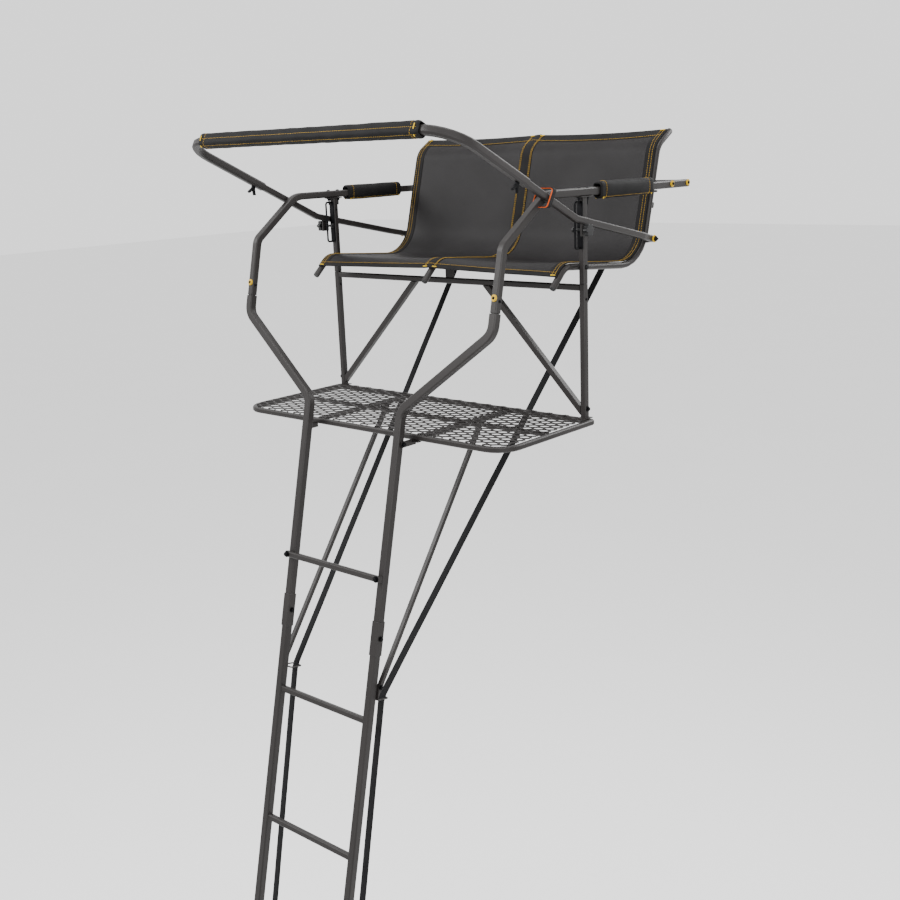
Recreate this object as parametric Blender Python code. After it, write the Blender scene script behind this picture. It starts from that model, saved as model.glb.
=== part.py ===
"""Two-person ladder tree stand: a sectional ladder, a mesh platform, a tipping sling seat, a telescoping
shooting rail and a pair of grip jaws that ratchet straps close round the trunk.

Metres, +Z up, +Y towards the tree. Left and right are those of someone facing the ladder, right being +X. Shapes
are laid out from the platform datum, the point midway between the two rear posts at platform level, which the
empty platform_datum carries."""

import math

import bmesh
import bpy
from mathutils import Matrix, Vector

# Overall layout
PLATFORM_HEIGHT = 3.90
LEAN = math.radians(13.0)
FRONT_Y = -0.4725
SIDES = (("left", -1), ("right", 1))
GAP = 0.0003

# Tube sizes across the flats
RAIL_TUBE = 0.025
POST_TUBE = 0.020
RUNG_TUBE = 0.018
ARM_TUBE = 0.019
BRACE_TUBE = 0.013
SEAT_TUBE = 0.020
ARMREST_TUBE = 0.0225
CROSSBAR_TUBE = 0.018
SOCKET_OUTER = 0.029
CORNER = 0.003

# Ladder
RAIL_X = 0.1925
RUNG_PITCH = 0.405
TOP_RUNG_Z = -0.395
FIRST_RUNG_Z = -0.810
SLEEVE_TOP_Z = -0.518
SLEEVE_LENGTH = 0.098
SECTION_DROP = 1.230
SPIGOT = 0.080
FOOT_LENGTH = 0.110
FOOT_WIDTH = 0.046

# Sides of the seat bay
REAR_X = 0.5135
SIDE_X = 0.502
UPRIGHT_SHIFT = -0.010
ARMREST_FRONT_X = 0.5115
ARMREST_FRONT_Y = -0.178
ARMREST_X = 0.527
ARMREST_BEND_Y = 0.360
ARMREST_Z = 0.6715
ARMREST_REAR_Y = 0.557
ARMREST_PAD_Y = 0.200
JOINT_Z = 0.372
CROSSBAR_Z = 0.399
POST_JOINT_Z = 0.409
POST_SPIGOT = 0.014
JOINT_SPIGOT = 0.018
DIAGONAL_X = 0.140

# Platform
PLATFORM_X = 0.548
PLATFORM_FRONT = -0.432
PLATFORM_CORNER = 0.065
PLATFORM_TUBE = 0.016
PLATFORM_TOP = 0.010
PLATFORM_BAR_X = 0.218
PLATFORM_BAR_Y = -0.215
BRACE_X = 0.204
BRACE_Y = -0.115
MESH_THICKNESS = 0.004

# Seat
SEAT_X = 0.4920
SEAT_REAR_X = 0.4985
SEAT_PIVOT = (0.0, 0.4585)
SEAT_TIP = (-0.123, 0.408)
SEAT_FRONT = (-0.062, 0.4635)
SEAT_HEEL = (0.332, 0.4330)
SEAT_SHOULDER = (0.4285, 0.790)
SEAT_TOP = (0.500, 0.833)
CROSS_TUBE_UP = 0.190
SLING_THICKNESS = 0.003
SLING_TIP = 0.033
SLING_TOP = 0.010

# Shooting rail
ARM_X = 0.5345
ARM_REAR_X = 0.5240
ARM_PIVOT = (0.354, 0.512)
ARM_BEND = (-0.064, 0.600)
RAIL_CORNER = (-0.590, 0.852)
RAIL_RADIUS = 0.105
RAIL_OUTER = 0.025
RAIL_REAR_Y = -0.290
ARM_FRONT_Y = -0.450
KNOB = (-0.027, 0.5665)
PAD_HALF = 0.431
PAD_SIZE = 0.035
PAD_CLEARANCE = 0.0018

# Tree side
TREE_BAR_Y = 0.557
LEG_X = 0.5054
LEG_FRONT_Y = 0.438
REST_BAR = (0.3755, 0.511)
TAB_X = 0.5118
TRUNK_RADIUS = 0.150
TRUNK_Y = 0.734
JAW_PIVOT_X = 0.400
JAW_Z = 0.652
JAW_THICKNESS = 0.006
JAW_WIDTH = 0.036
JAW_TIP = 34.0
EYE_X = 0.333
EYE_Y = 0.598

# Straps
STRAP_WIDTH = 0.025
STRAP_THICKNESS = 0.002
STRAP_X = 0.190
GUIDE_Z = -0.745
GUIDE_OFFSET = 0.050
RATCHET_Z = -2.500
SPOOL_OFFSET = 0.072
SPOOL_RADIUS = 0.015

PARTS = "ladder_tree_stand"
CUTTERS = "cutters"


def front_y(z):
    """Where the leaning plane of the ladder stands at a height."""
    return FRONT_Y + math.tan(LEAN) * z


FOOT_Z = -PLATFORM_HEIGHT
FOOT_FRONT = front_y(FOOT_Z) - FOOT_LENGTH / 2
JAW_INNER = TRUNK_RADIUS + 0.004
JAW_REAR = TRUNK_Y + (JAW_INNER + JAW_WIDTH) * math.sin(math.radians(JAW_TIP))
DATUM = (0.0, -(FOOT_FRONT + JAW_REAR) / 2, PLATFORM_HEIGHT)


# ---------------------------------------------------------------- scene and materials

def clear_scene():
    for item in list(bpy.data.objects):
        bpy.data.objects.remove(item, do_unlink=True)


def make_collection(name):
    collection = bpy.data.collections.new(name)
    bpy.context.scene.collection.children.link(collection)
    return collection


def empty(name, location, parent=None):
    item = bpy.data.objects.new(name, None)
    item.empty_display_size = 0.05
    item.location = location
    item.parent = parent
    bpy.data.collections[PARTS].objects.link(item)
    return item


def material(name, color, roughness, metallic):
    made = bpy.data.materials.new(name)
    made.use_nodes = True
    shader = made.node_tree.nodes["Principled BSDF"]
    shader.inputs["Base Color"].default_value = (*color, 1.0)
    shader.inputs["Roughness"].default_value = roughness
    shader.inputs["Metallic"].default_value = metallic
    made.diffuse_color = (*color, 1.0)
    return made


def powder_coat():
    return material("powder_coat", (0.064, 0.058, 0.056), 0.45, 0.0)


def zinc():
    return material("zinc_plate", (0.42, 0.42, 0.40), 0.35, 1.0)


def black_nylon():
    return material("black_nylon", (0.012, 0.012, 0.013), 0.85, 0.0)


def black_plastic():
    return material("black_plastic", (0.018, 0.018, 0.019), 0.50, 0.0)


def black_oxide():
    return material("black_oxide", (0.020, 0.020, 0.022), 0.40, 0.8)


# ---------------------------------------------------------------- shape helpers

def link(item, collection=PARTS):
    bpy.data.collections[collection].objects.link(item)
    item.parent = bpy.data.objects["platform_datum"]
    return item


def weld(mesh, distance=1e-5):
    """Joins loose caps and turns every face outwards."""
    work = bmesh.new()
    work.from_mesh(mesh)
    bmesh.ops.remove_doubles(work, verts=work.verts, dist=distance)
    bmesh.ops.recalc_face_normals(work, faces=work.faces)
    work.to_mesh(mesh)
    work.free()
    return mesh


def curve_to_object(name, curve, matrix=None):
    """Turns a curve into a mesh object, with its caps welded."""
    guide = bpy.data.objects.new(name + "_guide", curve)
    bpy.context.scene.collection.objects.link(guide)
    depsgraph = bpy.context.evaluated_depsgraph_get()
    mesh = bpy.data.meshes.new_from_object(guide.evaluated_get(depsgraph))
    bpy.data.objects.remove(guide, do_unlink=True)
    if matrix is not None:
        mesh.transform(matrix)
    mesh.name = name
    return link(bpy.data.objects.new(name, weld(mesh)))


def poly_curve(name, points, cyclic=False, dimensions="3D"):
    curve = bpy.data.curves.new(name, "CURVE")
    curve.dimensions = dimensions
    spline = curve.splines.new("POLY")
    spline.points.add(len(points) - 1)
    for spot, point in zip(spline.points, points):
        spot.co = (*point, 1.0) if len(point) == 3 else (*point, 0.0, 1.0)
    spline.use_cyclic_u = cyclic
    return curve


def section_object(width, depth, corner):
    """A rectangle with cut corners, used as a sweep's section."""
    half_w = width / 2
    half_d = depth / 2
    outline = []
    for sx, sy in ((1, -1), (1, 1), (-1, 1), (-1, -1)):
        along_x = (sx * (half_w - corner), sy * half_d)
        along_y = (sx * half_w, sy * (half_d - corner))
        outline += [along_x, along_y] if sx * sy < 0 else [along_y, along_x]
    section = bpy.data.objects.new("section", poly_curve("section", outline, True, "2D"))
    bpy.context.scene.collection.objects.link(section)
    return section


def tube(name, points, width, depth=None, corner=CORNER, cyclic=False, roll=0.0):
    """A square or flat tube swept along points; width lies across, depth in the plane of the bends."""
    section = section_object(width, depth or width, corner)
    curve = poly_curve(name, [tuple(p) for p in points], cyclic)
    for spot in curve.splines[0].points:
        spot.tilt = roll
    curve.bevel_mode = "OBJECT"
    curve.bevel_object = section
    curve.use_fill_caps = not cyclic
    item = curve_to_object(name, curve)
    bpy.data.objects.remove(section, do_unlink=True)
    return item


def round_tube(name, points, diameter, cyclic=False, resolution=2):
    curve = poly_curve(name, [tuple(p) for p in points], cyclic)
    curve.bevel_depth = diameter / 2
    curve.bevel_resolution = resolution
    curve.use_fill_caps = not cyclic
    return curve_to_object(name, curve)


def rounded_path(corners, radii, steps=5):
    """Corner points joined by straight runs, each inner corner turned into an arc."""
    corners = [Vector(c) for c in corners]
    points = [corners[0]]
    for before, corner, after, radius in zip(corners, corners[1:], corners[2:], radii):
        back = (before - corner).normalized()
        ahead = (after - corner).normalized()
        turn = math.pi - back.angle(ahead)
        centre = corner + (back + ahead).normalized() * radius / math.cos(turn / 2)
        start = corner + back * radius * math.tan(turn / 2) - centre
        finish = corner + ahead * radius * math.tan(turn / 2) - centre
        axis = start.cross(finish).normalized()
        for k in range(steps + 1):
            points.append(centre + Matrix.Rotation(turn * k / steps, 3, axis) @ start)
    points.append(corners[-1])
    return points


def side_path(x, corners, radii, steps=5):
    """A rounded path in the plane at x, from (y, z) corners."""
    return rounded_path([(x, y, z) for y, z in corners], radii, steps)


def box(name, size, centre, tilt=0.0, collection=PARTS):
    """A box, leaning about X by tilt."""
    mesh = bpy.data.meshes.new(name)
    work = bmesh.new()
    turn = Matrix.Rotation(tilt, 4, "X")
    matrix = Matrix.Translation(centre) @ turn @ Matrix.Diagonal((*size, 1.0))
    bmesh.ops.create_cube(work, size=1.0, matrix=matrix)
    work.to_mesh(mesh)
    work.free()
    return link(bpy.data.objects.new(name, mesh), collection)


AXIS_TURNS = {
    "X": Matrix.Rotation(math.pi / 2, 4, "Y"),
    "Y": Matrix.Rotation(-math.pi / 2, 4, "X"),
    "Z": Matrix.Identity(4),
}


def cylinder(name, radius, length, centre, axis, sides=16, collection=PARTS):
    mesh = bpy.data.meshes.new(name)
    work = bmesh.new()
    matrix = Matrix.Translation(centre) @ AXIS_TURNS[axis]
    bmesh.ops.create_cone(work, cap_ends=True, segments=sides, radius1=radius, radius2=radius,
                          depth=length, matrix=matrix)
    work.to_mesh(mesh)
    work.free()
    item = link(bpy.data.objects.new(name, mesh), collection)
    item.data.shade_smooth()
    item.data.set_sharp_from_angle(angle=math.radians(40))
    return item


PLANES = {
    "XY": Matrix.Identity(4),
    "XZ": Matrix(((1, 0, 0, 0), (0, 0, -1, 0), (0, 1, 0, 0), (0, 0, 0, 1))),
    "YZ": Matrix(((0, 0, 1, 0), (1, 0, 0, 0), (0, 1, 0, 0), (0, 0, 0, 1))),
}


def plate(name, outline, thickness, plane, offset=0.0):
    """A flat outline in a main plane, given thickness evenly about offset on the third axis."""
    curve = poly_curve(name, outline, True, "2D")
    curve.fill_mode = "BOTH"
    curve.extrude = thickness / 2
    return curve_to_object(name, curve, PLANES[plane] @ Matrix.Translation((0, 0, offset)))


def combine(target, other, operation, solver="EXACT"):
    """Adds a live Boolean with a hidden operand."""
    for owner in list(other.users_collection):
        owner.objects.unlink(other)
    bpy.data.collections[CUTTERS].objects.link(other)
    other.hide_render = True
    other.display_type = "WIRE"
    modifier = target.modifiers.new(operation.lower() + "_" + other.name, "BOOLEAN")
    modifier.solver = solver
    modifier.operation = operation
    modifier.object = other
    return target


def finish(item, coat):
    item.data.materials.clear()
    item.data.materials.append(coat)
    return item


def attach(item, pivot):
    """Hangs a piece on its joint's empty, with its origin on the joint's axis."""
    item.data.transform(Matrix.Translation(-pivot.location))
    item.parent = pivot
    return item


# ---------------------------------------------------------------- ladder

def lean_point(x, z, offset=0.0):
    """A point on the ladder plane at height z, offset square to it towards the tree."""
    return Vector((x, front_y(z) + offset * math.cos(LEAN), z - offset * math.sin(LEAN)))


def upright_point(side, z):
    """A point on a rail's upright part above the platform."""
    return Vector((side * SIDE_X, front_y(z) + UPRIGHT_SHIFT, z))


def swaged_socket(target, name, x, top, bottom):
    """Widens a rail's lower end and opens it for the next section's spigot."""
    sleeve = tube(name + "_sleeve", [lean_point(x, top), lean_point(x, bottom)], SOCKET_OUTER)
    combine(target, sleeve, "UNION", "MANIFOLD")
    bore_top = bottom + SPIGOT
    ends = [lean_point(x, bore_top), lean_point(x, bottom - 0.01)]
    bore = tube(name + "_bore", ends, RAIL_TUBE + 2 * GAP)
    combine(target, bore, "DIFFERENCE", "MANIFOLD")


def make_rail(name, side, coat):
    """Upper rail: up the ladder plane, out to full width and into the armrest tube."""
    corners = (
        lean_point(side * RAIL_X, SLEEVE_TOP_Z - 0.004),
        lean_point(side * RAIL_X, 0.082),
        upright_point(side, 0.318),
        upright_point(side, JOINT_Z),
    )
    rail = tube(name, rounded_path(corners, (0.050, 0.050)), RAIL_TUBE)
    ends = [upright_point(side, z) for z in (JOINT_Z - 0.020, JOINT_Z + SPIGOT - 0.002)]
    combine(rail, tube(name + "_spigot", ends, JOINT_SPIGOT), "UNION", "MANIFOLD")
    swaged_socket(rail, name, side * RAIL_X, SLEEVE_TOP_Z, SLEEVE_TOP_Z - SLEEVE_LENGTH)
    return finish(rail, coat)


def make_ladder_section(name, index, coat):
    """A welded section: two rails, its rungs and, at the bottom, two spiked feet."""
    joint_z = SLEEVE_TOP_Z - SLEEVE_LENGTH - index * SECTION_DROP
    last = joint_z - SECTION_DROP - RUNG_PITCH < FOOT_Z
    bottom = FOOT_Z + 0.006 if last else joint_z - SECTION_DROP
    rail_end = bottom if last else bottom + SLEEVE_LENGTH - 0.004
    top = joint_z + SPIGOT - 0.002
    section = tube(name, [lean_point(-RAIL_X, top), lean_point(-RAIL_X, rail_end)], RAIL_TUBE)
    other = tube(name + "_rail", [lean_point(RAIL_X, top), lean_point(RAIL_X, rail_end)], RAIL_TUBE)
    combine(section, other, "UNION", "MANIFOLD")
    for k in range(3):
        z = FIRST_RUNG_Z - index * SECTION_DROP - k * RUNG_PITCH
        if z < FOOT_Z + 0.1:
            continue
        ends = [lean_point(-RAIL_X, z), lean_point(RAIL_X, z)]
        rung = tube(f"{name}_rung_{k + 1}", ends, RUNG_TUBE, roll=-LEAN)
        combine(section, rung, "UNION", "MANIFOLD")
    for label, side in SIDES:
        if last:
            size = (FOOT_WIDTH, FOOT_LENGTH, 0.012)
            place = (side * RAIL_X, front_y(FOOT_Z), FOOT_Z + 0.006)
            combine(section, box(f"{name}_foot_{label}", size, place), "UNION", "MANIFOLD")
        else:
            top = bottom + SLEEVE_LENGTH
            swaged_socket(section, f"{name}_{label}", side * RAIL_X, top, bottom)
    return finish(section, coat)


def make_top_rung(coat):
    """The rung bolted across the front of the upper rails."""
    offset = -(RAIL_TUBE + RUNG_TUBE) / 2 - GAP
    reach = RAIL_X + 0.010
    ends = [lean_point(-reach, TOP_RUNG_Z, offset), lean_point(reach, TOP_RUNG_Z, offset)]
    return finish(tube("top_rung", ends, RUNG_TUBE, roll=-LEAN), coat)


# ---------------------------------------------------------------- rear frame and armrests

def make_armrest_tube(name, side, coat):
    """From its socket on the rail, up, over and back to the tree."""
    corners = (
        upright_point(side, JOINT_Z + 0.0015),
        upright_point(side, 0.545),
        (side * ARMREST_FRONT_X, ARMREST_FRONT_Y, ARMREST_Z),
        (side * ARMREST_X, ARMREST_BEND_Y, ARMREST_Z),
        (side * ARMREST_X, ARMREST_REAR_Y, ARMREST_Z),
    )
    item = tube(name, rounded_path(corners, (0.040, 0.090, 0.300)), ARMREST_TUBE)
    ends = [upright_point(side, JOINT_Z + SPIGOT), upright_point(side, JOINT_Z - 0.01)]
    combine(item, tube(name + "_bore", ends, JOINT_SPIGOT + 2 * GAP), "DIFFERENCE", "MANIFOLD")
    return finish(item, coat)


def make_post(name, side, coat):
    """Lower post, with a socket at its top for the upper post."""
    x = side * REAR_X
    base = PLATFORM_TOP + GAP
    post = tube(name, [(x, 0, base), (x, 0, POST_JOINT_Z)], POST_TUBE)
    ends = [(x, 0, POST_JOINT_Z - 0.066), (x, 0, POST_JOINT_Z + 0.01)]
    bore = tube(name + "_bore", ends, POST_SPIGOT + 2 * GAP)
    return finish(combine(post, bore, "DIFFERENCE"), coat)


def make_upper_post(name, side, coat):
    """Upper post: a spigot into the lower post, and a bore for the seat's pivot bolt."""
    x = side * REAR_X
    base = POST_JOINT_Z + 0.0010
    top = ARMREST_Z - ARMREST_TUBE / 2 - 0.0012
    post = tube(name, [(x, 0, base), (x, 0, top)], POST_TUBE)
    ends = [(x, 0, POST_JOINT_Z - 0.064), (x, 0, base + 0.010)]
    combine(post, tube(name + "_spigot", ends, POST_SPIGOT), "UNION")
    place = (x, *SEAT_PIVOT)
    bore = cylinder(name + "_bore", 0.0044, 0.06, place, "X", 12, CUTTERS)
    return finish(combine(post, bore, "DIFFERENCE"), coat)


def make_crossbar(coat):
    """Bar between the posts, with a tab that holds up the middle seat tube."""
    reach = REAR_X - POST_TUBE / 2 - GAP
    bar = tube("crossbar", [(-reach, 0, CROSSBAR_Z), (reach, 0, CROSSBAR_Z)], CROSSBAR_TUBE)
    top = SEAT_PIVOT[1] - SEAT_TUBE / 2 - 0.0013
    tab = box("crossbar_tab", (0.034, 0.004, top - CROSSBAR_Z), (0, 0, (top + CROSSBAR_Z) / 2))
    return finish(combine(bar, tab, "UNION"), coat)


def make_diagonal(name, side, coat):
    """From the foot of a post to the underside of the crossbar, cut flush at both ends."""
    wall = REAR_X - POST_TUBE / 2 - GAP
    under = CROSSBAR_Z - CROSSBAR_TUBE / 2 - GAP
    run = wall - DIAGONAL_X
    rise = under - 0.020
    cut_z = CROSSBAR_TUBE * math.hypot(run, rise) / run
    cut_x = CROSSBAR_TUBE * math.hypot(run, rise) / rise
    outline = (
        (side * wall, 0.020),
        (side * wall, 0.020 + cut_z),
        (side * (DIAGONAL_X + cut_x), under),
        (side * DIAGONAL_X, under),
    )
    return finish(plate(name, outline, CROSSBAR_TUBE, "XZ"), coat)


def make_armrest_pad(name, side, coat):
    """A padded sleeve round the armrest tube, thicker on its outer side and on top."""
    splay = (ARMREST_X - ARMREST_FRONT_X) / (ARMREST_BEND_Y - ARMREST_FRONT_Y)
    x = ARMREST_FRONT_X + splay * (ARMREST_PAD_Y - ARMREST_FRONT_Y)
    pad = box(name, (0.032, 0.276, 0.045), (side * (x + 0.0025), ARMREST_PAD_Y, ARMREST_Z + 0.003))
    inner = ARMREST_TUBE + PAD_CLEARANCE
    hole = (inner, 0.40, inner)
    cutter = box(name + "_hole", hole, (side * x, ARMREST_PAD_Y, ARMREST_Z), collection=CUTTERS)
    turn = Matrix.Rotation(-side * math.atan(splay), 4, "Z")
    about = Matrix.Translation((side * x, ARMREST_PAD_Y, 0))
    for item in (pad, cutter):
        item.data.transform(about @ turn @ about.inverted())
    return finish(combine(pad, cutter, "DIFFERENCE"), coat)


# ---------------------------------------------------------------- platform

def platform_corners():
    """The closed centre line of the platform's rim, clockwise from the rear left."""
    half = PLATFORM_X - PLATFORM_TUBE / 2
    front = PLATFORM_FRONT + PLATFORM_TUBE / 2
    z = PLATFORM_TOP - PLATFORM_TUBE / 2
    rear = ((-half, 0, z), (half, 0, z))
    corners = ((0, 0, z), rear[1], (half, front, z), (-half, front, z), rear[0], (0, 0, z))
    return rounded_path(corners, (0.006, PLATFORM_CORNER, PLATFORM_CORNER, 0.006), 5)[1:-1]


def make_platform_frame(coat):
    return finish(tube("platform_frame", platform_corners(), PLATFORM_TUBE, cyclic=True), coat)


def make_platform_bar(name, side, coat):
    """Flat bar from front to rear, in the lower half of the rim."""
    inner_front = PLATFORM_FRONT + PLATFORM_TUBE + GAP
    inner_rear = -PLATFORM_TUBE / 2 - GAP
    z = PLATFORM_TOP - PLATFORM_TUBE + 0.004
    ends = [(side * PLATFORM_BAR_X, y, z) for y in (inner_front, inner_rear)]
    return finish(tube(name, ends, 0.030, 0.008, 0.001), coat)


def make_platform_cross_bar(coat):
    """Flat bar from side to side, over the bars from front to rear."""
    reach = PLATFORM_X - PLATFORM_TUBE - GAP
    z = PLATFORM_TOP - 0.0038
    ends = [(-reach, PLATFORM_BAR_Y, z), (reach, PLATFORM_BAR_Y, z)]
    return finish(tube("platform_cross_bar", ends, 0.024, 0.0076, 0.001), coat)


def make_platform_mesh(coat):
    """The expanded-metal floor, as one flat sheet of its real outline."""
    outline = [(p.x * 0.995, p.y * 0.995 - 0.001) for p in platform_corners()]
    z = PLATFORM_TOP + GAP + MESH_THICKNESS / 2
    floor = plate("platform_mesh", outline, MESH_THICKNESS, "XY", z)
    for label, side in SIDES:
        size = (0.024, 0.024, 0.02)
        notch = box(f"post_notch_{label}", size, (side * REAR_X, 0, z), collection=CUTTERS)
        combine(floor, notch, "DIFFERENCE")
    return finish(floor, coat)


def make_brace(name, side, coat):
    """Thin stay from under a platform bar down to the ladder rail, cut flush at both ends."""
    top_z = PLATFORM_TOP - PLATFORM_TUBE - GAP
    low_z = GUIDE_Z + 0.030
    low_y = front_y(low_z) + (RAIL_TUBE / 2) / math.cos(LEAN) + GAP
    run = BRACE_Y - low_y
    rise = top_z - low_z
    length = math.hypot(run, rise)
    level = BRACE_TUBE * length / rise
    climb = math.atan2(rise, run)
    face = math.pi / 2 - LEAN
    slant = BRACE_TUBE / math.sin(face - climb)
    outline = (
        (low_y, low_z),
        (low_y - slant * math.cos(face), low_z - slant * math.sin(face)),
        (BRACE_Y + level, top_z),
        (BRACE_Y, top_z),
    )
    return finish(plate(name, outline, BRACE_TUBE, "YZ", side * BRACE_X), coat)


# ---------------------------------------------------------------- seat

def seat_profile(offset=0.0, tip=0.0, top=0.0, steps=6):
    """The seat tubes' centre line as (y, z), or a line at an offset on the sitter's side with shortened ends."""
    corners = (SEAT_TIP, SEAT_FRONT, SEAT_HEEL, SEAT_SHOULDER, SEAT_TOP)
    line = side_path(0, corners, (0.055, 0.130, 0.060), steps)
    line[0] += (line[1] - line[0]).normalized() * tip
    line[-1] += (line[-2] - line[-1]).normalized() * top
    shifted = []
    for k, point in enumerate(line):
        before = line[max(k - 1, 0)]
        after = line[min(k + 1, len(line) - 1)]
        along = (after - before).normalized()
        shifted.append((point.y - offset * along.z, point.z + offset * along.y))
    return shifted


def make_seat_tube(name, x, coat):
    """Bent round tube, the outer two splayed towards the back and bored at the seat's pivot."""
    points = []
    for y, z in seat_profile():
        back = min(max(y / SEAT_HEEL[0], 0.0), 1.0)
        points.append((x * (1 + back * (SEAT_REAR_X / SEAT_X - 1)), y, z))
    seat_tube = round_tube(name, points, SEAT_TUBE)
    if x:
        place = (math.copysign(SEAT_X + 0.008, x), *SEAT_PIVOT)
        combine(seat_tube, cylinder(name + "_bore", 0.0044, 0.026, place, "X", 12, CUTTERS), "DIFFERENCE")
    return finish(seat_tube, coat)


def make_seat_sling(coat):
    """The mesh sling lying over the three tubes."""
    low = SEAT_TUBE / 2 + 2 * GAP
    under = seat_profile(low, SLING_TIP, SLING_TOP)
    over = seat_profile(low + SLING_THICKNESS, SLING_TIP, SLING_TOP)
    return finish(plate("seat_sling", under + over[::-1], 2 * (SEAT_X + 0.009), "YZ"), coat)


def make_seat_cross_tube(coat):
    """Ties the three seat tubes together behind the backrest."""
    lean = math.atan2(SEAT_SHOULDER[0] - SEAT_HEEL[0], SEAT_SHOULDER[1] - SEAT_HEEL[1])
    behind = (SEAT_TUBE + CROSSBAR_TUBE) / 2 + GAP
    y = SEAT_HEEL[0] + CROSS_TUBE_UP * math.sin(lean) + behind * math.cos(lean)
    z = SEAT_HEEL[1] + CROSS_TUBE_UP * math.cos(lean) - behind * math.sin(lean)
    ends = [(-SEAT_REAR_X, y, z), (SEAT_REAR_X, y, z)]
    return finish(tube("seat_cross_tube", ends, CROSSBAR_TUBE, roll=-lean), coat)


def make_seat_bolt(name, side, coat):
    """Pivot bolt through the post into the seat tube, with its head outboard."""
    y, z = SEAT_PIVOT
    face = REAR_X + POST_TUBE / 2 + GAP
    bolt = cylinder(name, 0.0070, 0.0045, (side * (face + 0.00225), y, z), "X", 6)
    inner = SEAT_X - 0.002
    length = face + 0.002 - inner
    shank = cylinder(name + "_shank", 0.0040, length, (side * (inner + length / 2), y, z), "X", 12)
    return finish(combine(bolt, shank, "UNION"), coat)


# ---------------------------------------------------------------- shooting rail

def rail_slope():
    return math.atan2(RAIL_CORNER[1] - ARM_BEND[1], ARM_BEND[0] - RAIL_CORNER[0])


def rail_height(y):
    """Height of the straight part of the shooting rail at y."""
    return ARM_BEND[1] + math.tan(rail_slope()) * (ARM_BEND[0] - y)


def make_shooting_rail(coat):
    """The front loop, hollow at both ends for the arms."""
    corners = [
        (-ARM_X, RAIL_REAR_Y, rail_height(RAIL_REAR_Y)),
        (-ARM_X, *RAIL_CORNER),
        (ARM_X, *RAIL_CORNER),
        (ARM_X, RAIL_REAR_Y, rail_height(RAIL_REAR_Y)),
    ]
    rail = tube("shooting_rail", rounded_path(corners, (RAIL_RADIUS, RAIL_RADIUS), 7), RAIL_OUTER, corner=0.005)
    for label, side in SIDES:
        deep = ARM_FRONT_Y - 0.060
        shallow = RAIL_REAR_Y + 0.020
        ends = [(side * ARM_X, y, rail_height(y)) for y in (deep, shallow)]
        combine(rail, tube(f"shooting_rail_bore_{label}", ends, ARM_TUBE + 0.001), "DIFFERENCE")
    return finish(rail, coat)


def make_rail_pad(coat):
    """Padded sleeve round the front of the rail."""
    y, z = RAIL_CORNER
    tilt = -rail_slope()
    pad = box("rail_pad", (2 * PAD_HALF, PAD_SIZE, PAD_SIZE), (0, y, z), tilt)
    hole = (3 * PAD_HALF, RAIL_OUTER + PAD_CLEARANCE, RAIL_OUTER + PAD_CLEARANCE)
    cutter = box("rail_pad_hole", hole, (0, y, z), tilt, CUTTERS)
    return finish(combine(pad, cutter, "DIFFERENCE"), coat)


def make_rail_arm(name, side, coat):
    """Thin arm from the rear pivot forward into the rail, with a lug for the height knob."""
    x = side * ARM_X
    fall = (ARM_BEND[1] - ARM_PIVOT[1]) / (ARM_PIVOT[0] - ARM_BEND[0])
    rear = [(across, y, ARM_PIVOT[1] + fall * (ARM_PIVOT[0] - y)) for across, y in
            ((side * ARM_REAR_X, ARM_PIVOT[0] + 0.012), (side * ARM_REAR_X, ARM_PIVOT[0] - 0.020), (x, 0.285))]
    front = [(x, *ARM_BEND), (x, ARM_FRONT_Y, rail_height(ARM_FRONT_Y))]
    arm = tube(name, rounded_path(rear + front, (0.030, 0.030, 0.050)), ARM_TUBE)
    lug = box(name + "_lug", (0.005, 0.026, 0.050), (x, KNOB[0], KNOB[1] + 0.008))
    combine(arm, lug, "UNION")
    for label, (y, z) in (("stud", KNOB), ("pin", ARM_PIVOT)):
        bore = cylinder(f"{name}_{label}_bore", 0.0044, 0.08, (x, y, z), "X", 12, CUTTERS)
        combine(arm, bore, "DIFFERENCE")
    return finish(arm, coat)


def make_height_bracket(name, side, coat):
    """Bent strap on the front of the upper post; the knob's stud runs in the slot behind it."""
    face = -POST_TUBE / 2 - GAP
    out = -0.0400
    low = 0.512
    high = 0.646
    wall = 0.003
    outline = (
        (face, low), (face, low + wall), (out + wall, low + wall), (out + wall, high - wall),
        (face, high - wall), (face, high), (out, high), (out, low),
    )
    return finish(plate(name, outline, 0.019, "YZ", side * (REAR_X - 0.0005)), coat)


def make_height_knob(name, side, coat):
    """Lobed knob outboard of the arm, with its stud through the lug and the slot to a clamp head."""
    y, z = KNOB
    outer = ARM_X + ARM_TUBE / 2 + GAP
    outline = []
    for k in range(36):
        angle = math.tau * k / 36
        radius = 0.0165 + 0.0025 * math.cos(6 * angle)
        outline.append((y + radius * math.cos(angle), z + radius * math.sin(angle)))
    knob = plate(name, outline, 0.014, "YZ", side * (outer + 0.007))
    inner = 0.4965
    stud_length = outer + 0.010 - inner
    stud = cylinder(name + "_stud", 0.0040, stud_length, (side * (inner + stud_length / 2), y, z), "X", 12)
    combine(knob, stud, "UNION")
    head = cylinder(name + "_head", 0.0075, 0.006, (side * (inner + 0.003), y, z), "X", 12)
    combine(knob, head, "UNION")
    return finish(knob, coat)


def make_arm_pivot_bolt(name, side, coat):
    """Rear pivot: head outboard of the arm, shank through it into the rest bar's tab."""
    y, z = ARM_PIVOT
    head_x = ARM_REAR_X + ARM_TUBE / 2 + GAP + 0.0035
    bolt = cylinder(name, 0.0085, 0.007, (side * head_x, y, z), "X", 12)
    inner = TAB_X - 0.002
    length = head_x - inner
    combine(bolt, cylinder(name + "_shank", 0.0040, length, (side * (inner + length / 2), y, z), "X", 12), "UNION")
    return finish(bolt, coat)


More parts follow.
